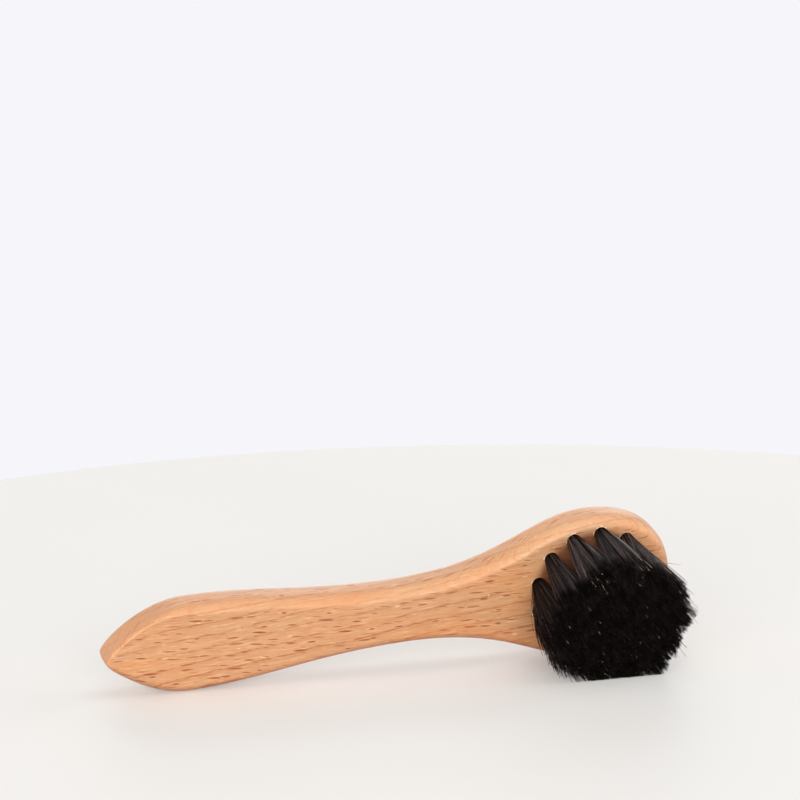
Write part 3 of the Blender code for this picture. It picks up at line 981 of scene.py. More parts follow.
@dataclass
class BeechBoard:
    """The one-piece handle and head, with rounded edges and bored holes."""

    lie: Lie
    rings: HoleRings
    finishes: Finishes
    length: float = 0.170
    thickness: float = 0.0115
    edge_radius: float = 0.0032
    tip_edge_radius: float = 0.0009
    crisp_until: float = 0.010
    soft_from: float = 0.032
    crisp_down_to: float = 0.0010
    soft_under: float = -0.0065
    front_depth: float = 1.55
    deep_over: float = 0.003
    paddle_station: float = 0.0242
    paddle_half_width: float = 0.0134
    neck_station: float = 0.0864
    neck_half_width: float = 0.00875
    head_half_width: float = 0.0222
    tip_fullness: float = 0.0022
    under_tip_fullness: float = 0.0027
    nose_bulge: float = 0.0005
    nose_length: float = 0.007
    nose_top: float = 0.0015
    wall_steps: int = 5
    paddle_fullness: tuple[float, float] = (0.0122, 0.0230)
    neck_fullness: tuple[float, float] = (0.027, 0.035)
    head_fullness: tuple[float, float] = (0.0178, 0.0090)
    end_fullness: float = 0.0185
    points_per_curve: int = 56
    edge_steps: int = 10
    face_border: float = 0.0004
    hole_diameter: float = 0.0042
    hole_depth: float = 0.0070
    pilot_diameter: float = 0.0012
    pilot_depth: float = 0.0029
    pilot_spacing: float = 0.0030
    pilot_overlap: float = 0.0003
    hole_sides: int = 40
    overrun: float = 0.002
    sharp_from: float = math.radians(35)
    bare_beside: float = 0.0002
    bare_below: float = 0.00002
    bare_above_back: float = 0.0005

    @property
    def face(self) -> float:
        """Y of the face that the hair grows from."""
        return -self.thickness / 2

    def half_outline(self, inset: float, tip_fullness: float) -> np.ndarray:
        """Upper half of the outline, drawn in all the way round.

        Args:
            inset: how far it is drawn in.
            tip_fullness: how round the tip is.

        Returns:
            Points from the tip to the head's end, as X and Z.
        """
        head_length = self.length - self.rings.head_station
        tip = np.array([inset, 0.0])
        paddle = np.array([self.paddle_station, self.paddle_half_width - inset])
        neck = np.array([self.neck_station, self.neck_half_width - inset])
        head = np.array([self.rings.head_station, self.head_half_width - inset])
        end = np.array([self.length - inset, 0.0])
        along = np.array([1.0, 0.0])
        across = np.array([0.0, 1.0])
        tip_share = 1 - inset / self.paddle_station
        end_share = 1 - inset / head_length
        curves = (
            (tip, tip + across * tip_fullness * paddle[1] / self.paddle_half_width,
             paddle - along * self.paddle_fullness[0] * tip_share, paddle),
            (paddle, paddle + along * self.paddle_fullness[1],
             neck - along * self.neck_fullness[0], neck),
            (neck, neck + along * self.neck_fullness[1],
             head - along * self.head_fullness[0], head),
            (head, head + along * self.head_fullness[1] * end_share,
             end + across * self.end_fullness * head[1] / self.head_half_width, end),
        )
        t = np.linspace(0, 1, self.points_per_curve)[:, None]
        pieces = [(1 - t) ** 3 * a + 3 * (1 - t) ** 2 * t * b + 3 * (1 - t) * t * t * c + t**3 * d
                  for a, b, c, d in curves]
        return np.concatenate([pieces[0][:1], *[piece[1:] for piece in pieces]])

    def outline(self, inset: float) -> np.ndarray:
        """Closed outline: the upper half and its mirror, which is fuller under the tip.

        Args:
            inset: how far it is drawn in all the way round.

        Returns:
            Points from the tip over the top and back underneath, as X and Z.
        """
        upper = self.half_outline(inset, self.tip_fullness)
        lower = self.half_outline(inset, self.under_tip_fullness) * (1, -1)
        return np.concatenate([upper, lower[-2:0:-1]])

    def loops(self) -> list[np.ndarray]:
        """Loops of points from the face's border over the rounded edges to the back's border.

        Over the top of the tip, the face's own edge is crisper than the back's. Along the upper
        side, it goes deeper down the side than in over the face. The tip bulges between its edges.

        Returns:
            The loops, each with one point for each point of the outline.
        """
        rim = self.outline(0.0)
        inward = (self.outline(MM) - rim) / MM
        under = smoothstep(-rim[:, 1], -self.crisp_down_to, -self.soft_under)
        share = np.maximum(smoothstep(rim[:, 0], self.crisp_until, self.soft_from), under)
        front = self.tip_edge_radius + (self.edge_radius - self.tip_edge_radius) * share
        deeper = 1 + (self.front_depth - 1) * smoothstep(rim[:, 1], -self.deep_over, self.deep_over)
        back = np.full(len(rim), self.edge_radius)
        nose = 1 - smoothstep(rim[:, 0], 0.0, self.nose_length)
        bulge = self.nose_bulge * nose * smoothstep(-rim[:, 1], -self.nose_top, self.nose_top)
        levels = []
        for side, radius, depth in ((1, front, deeper), (-1, back, 1)):
            edge = [(radius + self.face_border, side * (0 * radius + self.face))]
            for step in range(self.edge_steps + 1):
                angle = math.pi / 2 * (1 - step / self.edge_steps)
                down = radius * depth * (1 - math.sin(angle))
                edge.append((radius * (1 - math.cos(angle)), side * (self.face + down)))
            levels += edge[::side]
        low, high = levels[self.edge_steps + 1][1], levels[self.edge_steps + 2][1]
        shares = np.arange(1, self.wall_steps + 1) / (self.wall_steps + 1)
        levels[self.edge_steps + 2:self.edge_steps + 2] = [
            (0 * bulge, low + (high - low) * share) for share in shares]
        made = []
        for inset, height in levels:
            out = bulge * np.cos(math.pi * height / self.thickness)
            flat = rim + inward * (inset - out)[:, None]
            made.append(np.stack([flat[:, 0], height, flat[:, 1]], 1))
        return made

    def blank(self) -> bpy.types.Mesh:
        """The board before it is bored.

        Returns:
            Its closed mesh, in the drawing.
        """
        loops = self.loops()
        count = len(loops[0])
        steps = np.arange(count)
        after = (steps + 1) % count
        first = np.stack([steps, after, count + after, count + steps], 1)
        sides = [first + k * count for k in range(len(loops) - 1)]
        caps = np.stack([steps[::-1], (len(loops) - 1) * count + steps])
        return mesh_of("beech_board", np.concatenate(loops), [np.concatenate(sides), caps])

    def drills(self, spots: list[np.ndarray], diameter: float, near: float,
               far: float) -> bpy.types.Object:
        """Cutters along Y.

        Args:
            spots: where they stand, as X and Z.
            diameter: how wide they cut.
            near: where they start, in front of the face.
            far: how deep they go.

        Returns:
            One object with a closed rod at each spot.
        """
        rods = bmesh.new()
        turn = Matrix.Rotation(math.pi / 2, 4, "X")
        for spot in spots:
            place = Matrix.Translation((spot[0], (near + far) / 2, spot[1])) @ turn
            bmesh.ops.create_cone(rods, cap_ends=True, segments=self.hole_sides, radius1=diameter / 2,
                                  radius2=diameter / 2, depth=far - near, matrix=place)
        mesh = bpy.data.meshes.new("drills")
        rods.to_mesh(mesh)
        rods.free()
        return add_object("drills", mesh)

    def bored(self, blank: bpy.types.Object) -> bpy.types.Mesh:
        """Bore a blind hole and two pilot holes for each tuft.

        Args:
            blank: the board before it is bored.

        Returns:
            The bored board's mesh.
        """
        spots = list(self.rings.roots().values())
        half = np.array([0.0, self.pilot_spacing / 2])
        legs = [spot + side * half for spot in spots for side in (-1, 1)]
        floor = self.face + self.hole_depth
        cutters = [self.drills(spots, self.hole_diameter, self.face - self.overrun, floor),
                   self.drills(legs, self.pilot_diameter, floor - self.pilot_overlap,
                               floor + self.pilot_depth)]
        for cutter in cutters:
            modifier = blank.modifiers.new(cutter.name, "BOOLEAN")
            modifier.object = cutter
            modifier.solver = "EXACT"
        graph = bpy.context.evaluated_depsgraph_get()
        mesh = bpy.data.meshes.new_from_object(blank.evaluated_get(graph))
        for cutter in cutters:
            bpy.data.objects.remove(cutter, do_unlink=True)
        return mesh

    def build(self) -> bpy.types.Object:
        """Make, bore, dress and lay down the board.

        Returns:
            The board's object.
        """
        board = add_object("beech_board", self.blank())
        mesh = self.bored(board)
        board.modifiers.clear()
        board.data = mesh
        mesh.name = "beech_board"
        mesh.shade_smooth()
        mesh.set_sharp_from_angle(angle=self.sharp_from)
        mesh.materials.clear()
        mesh.materials.append(self.finishes.beech)
        mesh.materials.append(self.finishes.bare_beech)
        self.bare_the_bores(mesh)
        mesh.transform(self.lie.matrix)
        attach(board, BODY)
        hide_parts("handle")
        LOG.info("beech board: %d faces, %d holes", len(mesh.polygons), len(self.rings.roots()))
        return board

    def bare_the_bores(self, mesh: bpy.types.Mesh) -> None:
        """Give the walls and floors of the holes the wood's unvarnished finish.

        Args:
            mesh: the bored board, still in the drawing.
        """
        centres = np.zeros(len(mesh.polygons) * 3, np.float32)
        mesh.polygons.foreach_get("center", centres)
        x, y, z = centres.reshape(-1, 3).T
        inside = (y > self.face + self.bare_below) & (y < self.thickness / 2 - self.bare_above_back)
        reach = self.hole_diameter / 2 + self.bare_beside
        near = np.zeros(len(y), bool)
        for spot in self.rings.roots().values():
            near |= np.hypot(x - spot[0], z - spot[1]) < reach
        mesh.polygons.foreach_set("material_index", (inside & near).astype(np.int32))


@dataclass
class TrimmedFace:
    """Where the hair ends: a flat cut face, shared out among the tufts and stopped by the table."""

    lie: Lie
    rings: HoleRings
    level: float
    radius: float = 0.0220
    lean_down: float = 0.0035
    bend_band: float = 0.012
    corner_reach: float = 0.0182
    corner_slant: float = math.radians(27.5)
    overlap: float = 0.0003
    pressed: float = 0.0012
    rim_width: float = 0.0030
    worn_width: float = 0.0045
    sides: int = 96

    def __post_init__(self) -> None:
        """Find the table's line on the face."""
        turn = np.array(self.lie.matrix)
        slope = turn[2, [0, 2]]
        size = float(np.hypot(*slope))
        self.middle = self.rings.centre + np.array([0.0, -self.lean_down])
        cosine, sine = math.cos(self.corner_slant), math.sin(self.corner_slant)
        self.corners = (np.array([cosine, sine]), np.array([-cosine, sine]))
        self.up = slope / size
        self.least = -(turn[2, 1] * self.level + turn[2, 3]) / size

    @staticmethod
    def clip(polygon: np.ndarray, normal: np.ndarray, least: float) -> np.ndarray:
        """Keep the part of a polygon where normal . p is at least this much.

        Args:
            polygon: its corners in order.
            normal: unit vector that points into what is kept.
            least: the least value of normal . p that is kept.

        Returns:
            The corners of what is kept.
        """
        kept = []
        for a, b in zip(polygon, np.roll(polygon, -1, 0)):
            high, low = a @ normal - least, b @ normal - least
            if high >= 0:
                kept.append(a)
            if high * low < 0:
                kept.append(a + (b - a) * (high / (high - low)))
        return np.array(kept)

    def whole(self) -> np.ndarray:
        """The face's outline: a circle cut flat by the table, with both corners pressed in.

        It reaches a little below the table, where the hairs bend and pack into one flat edge.

        Returns:
            Its corners in order.
        """
        angles = np.linspace(0, math.tau, self.sides, endpoint=False)
        circle = self.middle + self.radius * np.stack([np.cos(angles), np.sin(angles)], 1)
        face = self.clip(circle, self.up, self.least - self.pressed)
        for inward in self.corners:
            face = self.clip(face, inward, inward @ self.middle - self.corner_reach)
        return face

    def rim_share(self, points: np.ndarray) -> np.ndarray:
        """How near points lie to the face's free outline.

        Args:
            points: spots of the face, as X and Z.

        Returns:
            For each, 0 well inside to 1 on the outline.
        """
        off = points - self.middle
        room = self.radius - np.linalg.norm(off, axis=1)
        for inward in self.corners:
            room = np.minimum(room, off @ inward + self.corner_reach)
        return 1 - smoothstep(room, 0.0, self.rim_width)

    def worn_share(self, points: np.ndarray) -> np.ndarray:
        """How near points lie to the pressed corner on the handle's side: 0 far off, 1 on it."""
        room = (points - self.middle) @ self.corners[0] + self.corner_reach
        return 1 - smoothstep(room, 0.0, self.worn_width)

    def tip_centre(self, root: np.ndarray) -> np.ndarray:
        """Where the middle of a tuft reaches the face, bent up by the table.

        Args:
            root: its hole's centre, as X and Z.

        Returns:
            The spot on the face, as X and Z.
        """
        spread = self.radius / (self.rings.outer_radius + self.rings.pitch / 2)
        free = self.middle + (root - self.rings.centre) * spread
        lowest = self.up @ self.middle - self.radius
        height = self.up @ free - self.least
        band = min(self.bend_band, self.up @ self.middle - self.least)
        depth = max(0.0, self.least - lowest)
        if height < band:
            free = free + self.up * (band * (height + depth) / (band + depth) - height)
        return free

    def cells(self) -> dict[str, np.ndarray]:
        """Share the face out among the tufts.

        Returns:
            The corners of the patch that each tuft fills, by the tuft's name.
        """
        roots = self.rings.roots()
        centres = {name: self.tip_centre(root) for name, root in roots.items()}
        face = self.whole()
        found = {}
        for name, root in roots.items():
            cell = face
            for other, far in roots.items():
                if other != name:
                    apart = (root - far) / np.linalg.norm(root - far)
                    halfway = apart @ (centres[name] + centres[other]) / 2
                    cell = self.clip(cell, apart, halfway - self.overlap / 2)
            found[name] = cell
        return found


@dataclass
class Hair:
    """Horsehair tufts, made hair by hair from the hole to the trimmed face."""

    ATTRIBUTE = "hair_tone"

    lie: Lie
    board: BeechBoard
    face: TrimmedFace
    finishes: Finishes
    length: float = 0.024
    per_tuft: int = 1000
    root_radius: float = 0.00196
    hair_radius: float = 0.000066
    taper: float = 0.10
    start_depth: float = 0.0008
    flare: float = -0.38
    roundness: float = 1.16
    clumps: int = 26
    clump_pull: float = 0.22
    rim_pull: float = 0.35
    pulled: Range = (0.3, 1.0)
    spike_reach: float = 0.0005
    tip_scatter: float = 0.00022
    length_scatter: float = 0.00012
    wave: float = 0.00022
    stray_share: float = 0.03
    stray_reach: float = 0.0018
    stray_outward: Range = (0.2, 1.0)
    stray_aside: float = 0.5
    short_share: float = 0.03
    short_most: float = 0.0020
    splay_share: float = 0.30
    splay_reach: float = 0.0005
    splay_short: float = 0.0030
    worn_share: float = 0.60
    worn_reach: float = 0.0046
    worn_spread: Range = (0.3, 1.0)
    worn_short: Range = (0.0030, 0.0100)
    thickness: Range = (0.78, 1.2)
    streaks: int = 60
    streak_weight: float = 0.75
    streak_rarity: float = 2.6
    pale_share: float = 0.0018
    grey_share: float = 0.026
    grey_kinds: Range = (0.22, 0.42)
    # painted glints: more pale hairs along the top of the trimmed face
    pale_on_top: float = 2.5
    top_band: Range = (0.55, 0.75)
    table_gap: float = 0.00012
    table_scatter: float = 0.00018
    rings_per_hair: int = 7
    sides: int = 3
    seed: int = 7

    def sunflower(self, count: int, turn: float) -> tuple[np.ndarray, np.ndarray]:
        """Even spots in a unit disc.

        Args:
            count: how many.
            turn: angle of the first.

        Returns:
            Their distance from the middle, and the way each lies.
        """
        index = np.arange(count) + 0.5
        angle = index * GOLDEN_ANGLE + turn
        return np.sqrt(index / count), np.stack([np.cos(angle), np.sin(angle)], 1)

    def spread(self, cell: np.ndarray, share: np.ndarray, way: np.ndarray) -> np.ndarray:
        """Stretch spots in a unit disc over a cell of the trimmed face, with rounded corners.

        Args:
            cell: the cell's corners.
            share: how far each spot is from the disc's middle.
            way: the way each spot lies.

        Returns:
            The spots on the face, as X and Z.
        """
        after = np.roll(cell, -1, 0)
        cross = cell[:, 0] * after[:, 1] - after[:, 0] * cell[:, 1]
        area = cross.sum() / 2
        centre = ((cell + after) * cross[:, None]).sum(0) / (6 * area)
        edge = after - cell
        lengths = np.hypot(edge[:, 0], edge[:, 1])[:, None]
        outward = np.stack([edge[:, 1], -edge[:, 0]], 1) / lengths
        facing = way @ outward.T
        room = ((cell - centre) * outward).sum(1)
        far = np.where(facing > 1e-6, room / np.maximum(facing, 1e-6), np.inf).min(1)
        far = np.minimum(far, self.roundness * math.sqrt(abs(area) / math.pi))
        return centre + share[:, None] * far[:, None] * way

    def gathered(self, root: np.ndarray, cell: np.ndarray,
                 rng: np.random.Generator) -> tuple[np.ndarray, np.ndarray, np.ndarray]:
        """Where the hairs of one tuft leave the hole and reach the face, gathered in clumps.

        Args:
            root: the hole's centre, as X and Z.
            cell: the tuft's patch of the trimmed face.
            rng: the tuft's own random numbers.

        Returns:
            The starts, the tips, and how near to the face's rim each hair ends, from 0 to 1.
        """
        count = self.per_tuft
        turn = rng.uniform(0, math.tau)
        share, way = self.sunflower(count, turn)
        starts = root + self.root_radius * share[:, None] * way
        tips = self.spread(cell, share, way)
        rim = self.face.rim_share(tips)
        knots = self.spread(cell, *self.sunflower(self.clumps, turn + 1.0))
        nearest = np.linalg.norm(tips[:, None] - knots[None], axis=2).argmin(1)
        pull = rng.uniform(*self.pulled, count) * (self.clump_pull + self.rim_pull * rim)
        tips += (knots[nearest] - tips) * pull[:, None]
        spikes = rng.exponential(self.spike_reach, self.clumps)[nearest] * rim
        outwards = tips - self.face.middle
        outwards /= np.linalg.norm(outwards, axis=1)[:, None]
        tips += outwards * spikes[:, None]
        return starts, tips, rim

    def loosened(self, root: np.ndarray, tips: np.ndarray, rim: np.ndarray,
                 rng: np.random.Generator) -> tuple[np.ndarray, np.ndarray]:
        """Scatter the tips, and make some hairs stray, short, splayed at the rim or worn.

        Args:
            root: the hole's centre, as X and Z.
            tips: where the hairs reach the face.
            rim: how near to the face's rim each hair ends.
            rng: the tuft's own random numbers.

        Returns:
            The moved tips, and the length of each hair out of the wood.
        """
        count = len(tips)
        outwards = tips - self.face.middle
        outwards /= np.linalg.norm(outwards, axis=1)[:, None]
        tips = tips + rng.normal(0, self.tip_scatter, tips.shape)
        stray = rng.random(count) < self.stray_share
        outward = tips - root
        outward /= np.linalg.norm(outward, axis=1)[:, None] + 1e-9
        aside = outward * rng.uniform(*self.stray_outward, count)[:, None]
        aside += rng.normal(0, self.stray_aside, tips.shape)
        tips[stray] += (aside * self.stray_reach)[stray]
        length = self.length + rng.normal(0, self.length_scatter, count)
        short = rng.random(count) < self.short_share
        length[short] -= rng.uniform(0, self.short_most, short.sum())
        splayed = rng.random(count) < self.splay_share * rim
        tips[splayed] += (outwards * rng.exponential(self.splay_reach, count)[:, None])[splayed]
        length[splayed] -= rng.uniform(0, self.splay_short, splayed.sum())
        worn = rng.random(count) < self.worn_share * self.face.worn_share(tips)
        pressed = self.worn_reach * rng.uniform(*self.worn_spread, (worn.sum(), 1))
        tips[worn] -= self.face.corners[0] * pressed
        length[worn] -= rng.uniform(*self.worn_short, worn.sum())
        return tips, length

    def paths(self, root: np.ndarray, cell: np.ndarray, rng: np.random.Generator) -> np.ndarray:
        """Middle lines of one tuft's hairs, in the drawing.

        Args:
            root: the hole's centre, as X and Z.
            cell: the tuft's patch of the trimmed face.
            rng: the tuft's own random numbers.

        Returns:
            Points, as hairs by rings by three.
        """
        starts, tips, rim = self.gathered(root, cell, rng)
        tips, length = self.loosened(root, tips, rim, rng)
        count = len(tips)
        t = np.linspace(0, 1, self.rings_per_hair)[None, :]
        out = t * (length[:, None] + self.start_depth) - self.start_depth
        reach = np.clip(out / self.length, 0, None)
        fan = (1 - self.flare) * reach + self.flare * reach**2
        flat = starts[:, None] + (tips - starts)[:, None] * fan[..., None]
        bow = rng.normal(0, self.wave, (count, 1, 2))
        curl = rng.normal(0, self.wave, (count, 1, 2))
        flat = flat + bow * np.sin(math.pi * reach)[..., None] + curl * (reach**3)[..., None]
        drawn = np.stack([flat[..., 0], self.board.face - out, flat[..., 1]], 2)
        return self.above_table(drawn, rng)

    def above_table(self, drawn: np.ndarray, rng: np.random.Generator) -> np.ndarray:
        """Bend hairs that would go through the table along it.

        Args:
            drawn: middle lines, in the drawing.
            rng: the tuft's own random numbers.

        Returns:
            The same lines, with no point under the table's top.
        """
        placed = self.lie.to_frame(drawn)
        gap = self.table_gap + rng.exponential(self.table_scatter, (len(drawn), 1))
        placed[..., 2] = np.maximum(placed[..., 2], gap)
        return self.lie.to_drawing(placed)

    def tubes(self, lines: np.ndarray, radius: np.ndarray, roll: np.ndarray) -> np.ndarray:
        """Corners round each middle line.

        Args:
            lines: hairs by rings by three.
            radius: hairs by rings.
            roll: a turn for each hair.

        Returns:
            Corners, as hairs by rings by sides by three.
        """
        forward = np.gradient(lines, axis=1)
        forward /= np.linalg.norm(forward, axis=2)[..., None]
        side = np.cross(forward, np.array([1.0, 0.0, 0.0]))
        side /= np.linalg.norm(side, axis=2)[..., None]
        other = np.cross(forward, side)
        angle = roll[:, None, None] + math.tau * np.arange(self.sides) / self.sides
        cosine, sine = np.cos(angle)[..., None], np.sin(angle)[..., None]
        offset = cosine * side[:, :, None] + sine * other[:, :, None]
        return lines[:, :, None] + radius[..., None, None] * offset

    def skin(self, count: int, rings: int) -> tuple[np.ndarray, np.ndarray]:
        """Faces that close the tubes of some hairs.

        Args:
            count: how many hairs.
            rings: how many rings of corners each has.

        Returns:
            The sides as quads, and the two ends as triangles.
        """
        hair, ring, side = np.meshgrid(np.arange(count), np.arange(rings - 1), np.arange(self.sides),
                                       indexing="ij")
        near = (hair * rings + ring) * self.sides
        far = near + self.sides
        after = (side + 1) % self.sides
        quads = np.stack([near + side, far + side, far + after, near + after], -1)
        first = np.arange(count)[:, None] * rings * self.sides
        last = first + (rings - 1) * self.sides
        corners = np.arange(self.sides)
        ends = np.concatenate([first + corners, last + corners[::-1]])
        return quads.reshape(-1, 4), ends

    def tones(self, lines: np.ndarray, rng: np.random.Generator) -> np.ndarray:
        """Tone and kind of each hair: black in streaks, a few grey, fewer pale.

        Args:
            lines: the hairs' middle lines. More of those along the top of the face are pale,
            as painted glints.
            rng: the tuft's own random numbers.

        Returns:
            Tone and kind, one row a hair.
        """
        count = len(lines)
        height = (lines[:, -1][:, [0, 2]] - self.face.middle) @ self.face.up
        # Painted glints: pale and grey hairs are likelier along the top of the face.
        luck = 1 + self.pale_on_top * smoothstep(height / self.face.radius, *self.top_band)
        share, way = self.sunflower(count, 0.0)
        streak_share, streak_way = self.sunflower(self.streaks, 1.0)
        apart = (share[:, None] * way)[:, None] - (streak_share[:, None] * streak_way)[None]
        streak = np.linalg.norm(apart, axis=2).argmin(1)
        shared = rng.random(self.streaks)[streak] ** self.streak_rarity
        tone = self.streak_weight * shared + (1 - self.streak_weight) * rng.random(count)
        chance = rng.random(count) / luck
        grey = rng.uniform(*self.grey_kinds, count)
        greyed = np.where(chance < self.grey_share, grey, 0.0)
        kind = np.where(chance < self.pale_share, 1.0, greyed)
        return np.stack([tone, kind], 1)

    def foot(self, name: str) -> tuple[np.ndarray, np.ndarray]:
        """The bound foot in the hole, with its fold under the wire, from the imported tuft.

        Args:
            name: the tuft's name without its prefix.

        Returns:
            Its points in the drawing, and its triangles.
        """
        shape = bmesh.new()
        shape.from_mesh(frame["nodes"][f"tuft_{name}"].data)
        bmesh.ops.remove_doubles(shape, verts=shape.verts, dist=0.001 * MM)
        bmesh.ops.triangulate(shape, faces=shape.faces)
        points = self.lie.to_drawing(np.array([v.co[:] for v in shape.verts]))
        kept = points[:, 1] > self.board.face - 0.01 * MM
        faces = np.array([[v.index for v in f.verts] for f in shape.faces])
        faces = faces[kept[faces].all(1)]
        shape.free()
        used = np.unique(faces)
        place = np.full(len(points), -1)
        place[used] = np.arange(len(used))
        return points[used], place[faces]

    def build_tuft(self, name: str, root: np.ndarray, cell: np.ndarray, seed: int) -> bpy.types.Object:
        """Make, dress and lay down one tuft.

        Args:
            name: the tuft's name without its prefix.
            root: its hole's centre.
            cell: its patch of the trimmed face.
            seed: what its random numbers start from.

        Returns:
            The tuft's object.
        """
        rng = np.random.default_rng(seed)
        lines = self.paths(root, cell, rng)
        count, rings, _ = lines.shape
        along = np.linspace(0, 1, rings)
        thickness = self.hair_radius * rng.uniform(*self.thickness, count)
        radius = thickness[:, None] * (1 - self.taper * along)[None, :]
        corners = self.tubes(lines, radius, rng.uniform(0, math.tau, count)).reshape(-1, 3)
        quads, ends = self.skin(count, rings)
        foot_points, foot_faces = self.foot(name)
        points = self.lie.to_frame(np.concatenate([corners, foot_points]))
        triangles = np.concatenate([ends, foot_faces + len(corners)])
        mesh = mesh_of(f"hair_{name}", points, [quads, triangles])
        written = np.zeros((len(points), 4), np.float32)
        written[:, 3] = 1.0
        hairs = np.repeat(self.tones(lines, rng), rings * self.sides, axis=0)
        written[:len(corners), :2] = hairs
        written[:len(corners), 2] = np.tile(np.repeat(along, self.sides), count)
        attribute = mesh.color_attributes.new(self.ATTRIBUTE, "FLOAT_COLOR", "POINT")
        attribute.data.foreach_set("color", written.ravel())
        mesh.materials.append(self.finishes.hair)
        tuft = add_object(f"hair_{name}", mesh)
        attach(tuft, BODY)
        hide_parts(f"tuft_{name}")
        return tuft

    def build(self) -> list[bpy.types.Object]:
        """Make every tuft.

        Returns:
            The tufts' objects.
        """
        cells = self.face.cells()
        tufts = []
        for number, (name, root) in enumerate(self.board.rings.roots().items()):
            tufts.append(self.build_tuft(name, root, cells[name], self.seed + number))
        LOG.info("hair: %d tufts of %d hairs", len(tufts), self.per_tuft)
        return tufts


@dataclass
class HoleBurrs:
    """The pale frayed rim that the drill leaves round each hole."""

    lie: Lie
    board: BeechBoard
    finishes: Finishes
    width: float = 0.00062
    height: float = 0.00034
    least: float = 0.15
    far_side: float = 0.10
    least_strong: float = 0.35
    waves: tuple[int, ...] = (2, 3, 5, 9)
    wave_heights: Range = (0.3, 1.0)
    rough_band: Range = (-1.2, 1.6)
    side_band: Range = (0.55, 0.98)
    side_scatter: float = 0.3
    gap: float = 0.00001
    steps: int = 48
    across: int = 6
    sunk: float = 0.00006
    seed: int = 31

    def ring(self, root: np.ndarray, rng: np.random.Generator) -> np.ndarray:
        """One rim: a ragged ridge, highest on the handle's side.

        Args:
            root: the hole's centre, as X and Z.
            rng: the random numbers of all the rims.

        Returns:
            Its points in the drawing, as steps by corners by three.
        """
        angle = math.tau * np.arange(self.steps) / self.steps
        waves = [rng.uniform(*self.wave_heights) * np.sin(k * angle + rng.uniform(0, math.tau))
                 for k in self.waves]
        rough = self.least + (1 - self.least) * smoothstep(sum(waves), *self.rough_band)
        facing = -np.cos(angle - rng.normal(0, self.side_scatter))
        rough *= self.far_side + (1 - self.far_side) * smoothstep(facing, *self.side_band)
        rough *= rng.uniform(self.least_strong, 1.0)
        turn = math.tau * np.arange(self.across) / self.across
        inner = self.board.hole_diameter / 2 + self.gap
        flat = inner + self.width * (1 + np.cos(turn))[None] / 2 * rough[:, None]
        raised = self.height * (1 + np.sin(turn))[None] / 2 * rough[:, None] - self.sunk
        out = np.stack([np.cos(angle), np.sin(angle)], 1)
        spot = root + flat[..., None] * out[:, None]
        return np.stack([spot[..., 0], self.board.face - raised, spot[..., 1]], 2)

    def build(self) -> bpy.types.Object:
        """Make and lay down every rim as one piece.

        Returns:
            The rims' object.
        """
        rng = np.random.default_rng(self.seed)
        roots = self.board.rings.roots().values()
        points = np.concatenate([self.ring(root, rng).reshape(-1, 3) for root in roots])
        step, corner = np.meshgrid(np.arange(self.steps), np.arange(self.across), indexing="ij")
        near = step * self.across
        far = (step + 1) % self.steps * self.across
        over = (corner + 1) % self.across
        quads = np.stack([near + corner, near + over, far + over, far + corner], -1).reshape(-1, 4)
        offsets = np.arange(len(roots))[:, None, None] * self.steps * self.across
        faces = (quads[None] + offsets).reshape(-1, 4)
        mesh = mesh_of("hole_burrs", self.lie.to_frame(points), [faces])
        mesh.materials.append(self.finishes.bare_beech)
        burrs = add_object("hole_burrs", mesh)
        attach(burrs, BODY)
        LOG.info("hole burrs: %d", len(roots))
        return burrs


@dataclass(frozen=True)
class LooseHair:
    """One pale hair that lies across the others, by three points in millimetres.

    Each point is its station along the board, its distance out of the face and its height.
    """

    start: tuple[float, float, float]
    bow: tuple[float, float, float]
    end: tuple[float, float, float]

    def line(self, count: int) -> np.ndarray:
        """Points along the hair.

        Args:
            count: how many.

        Returns:
            Them, one row each, as station, distance out and height in metres.
        """
        t = np.linspace(0, 1, count)[:, None]
        first, middle, last = np.array(self.start), np.array(self.bow), np.array(self.end)
        return ((1 - t) ** 2 * first + 2 * t * (1 - t) * middle + t * t * last) * MM


@dataclass
class LooseHairs:
    """The few pale hairs that stand out from the tufts."""

    lie: Lie
    board: BeechBoard
    hair: Hair
    finishes: Finishes
    radius: float = 0.00009
    points: int = 9
    hairs: tuple[LooseHair, ...] = (
        LooseHair((127.6, 4.0, 3.2), (126.2, 10.0, 2.0), (128.4, 19.0, 3.6)),
        LooseHair((155.0, 1.5, 17.4), (153.9, 9.0, 18.0), (151.9, 20.0, 16.6)),
        LooseHair((143.0, 8.0, 15.2), (142.4, 15.0, 15.0), (140.9, 23.6, 13.6)),
        LooseHair((149.6, 12.0, 17.4), (149.4, 18.0, 17.4), (148.9, 23.8, 17.0)),
        LooseHair((159.6, 17.0, 14.0), (160.9, 21.0, 15.1), (163.1, 23.6, 15.6)),
    )
    tone: float = 0.5
    kind: float = 0.62
    how_far_out: float = 0.4
    taper: float = 0.5

    def build(self) -> bpy.types.Object:
        """Make and lay down the hairs as one piece.

        Returns:
            The hairs' object.
        """
        lines = np.stack([hair.line(self.points) for hair in self.hairs])
        lines[..., 1] = self.board.face - lines[..., 1]
        along = np.linspace(0, 1, self.points)
        radius = np.broadcast_to(self.radius * (1 - self.taper * along), lines.shape[:2])
        corners = self.hair.tubes(lines, radius, np.zeros(len(lines))).reshape(-1, 3)
        quads, ends = self.hair.skin(len(lines), self.points)
        mesh = mesh_of("loose_hairs", self.lie.to_frame(corners), [quads, ends])
        one = (self.tone, self.kind, self.how_far_out, 1.0)
        written = np.tile(one, (len(corners), 1)).astype(np.float32)
        attribute = mesh.color_attributes.new(Hair.ATTRIBUTE, "FLOAT_COLOR", "POINT")
        attribute.data.foreach_set("color", written.ravel())
        mesh.materials.append(self.finishes.hair)
        loose = add_object("loose_hairs", mesh)
        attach(loose, BODY)
        LOG.info("loose hairs: %d", len(self.hairs))
        return loose


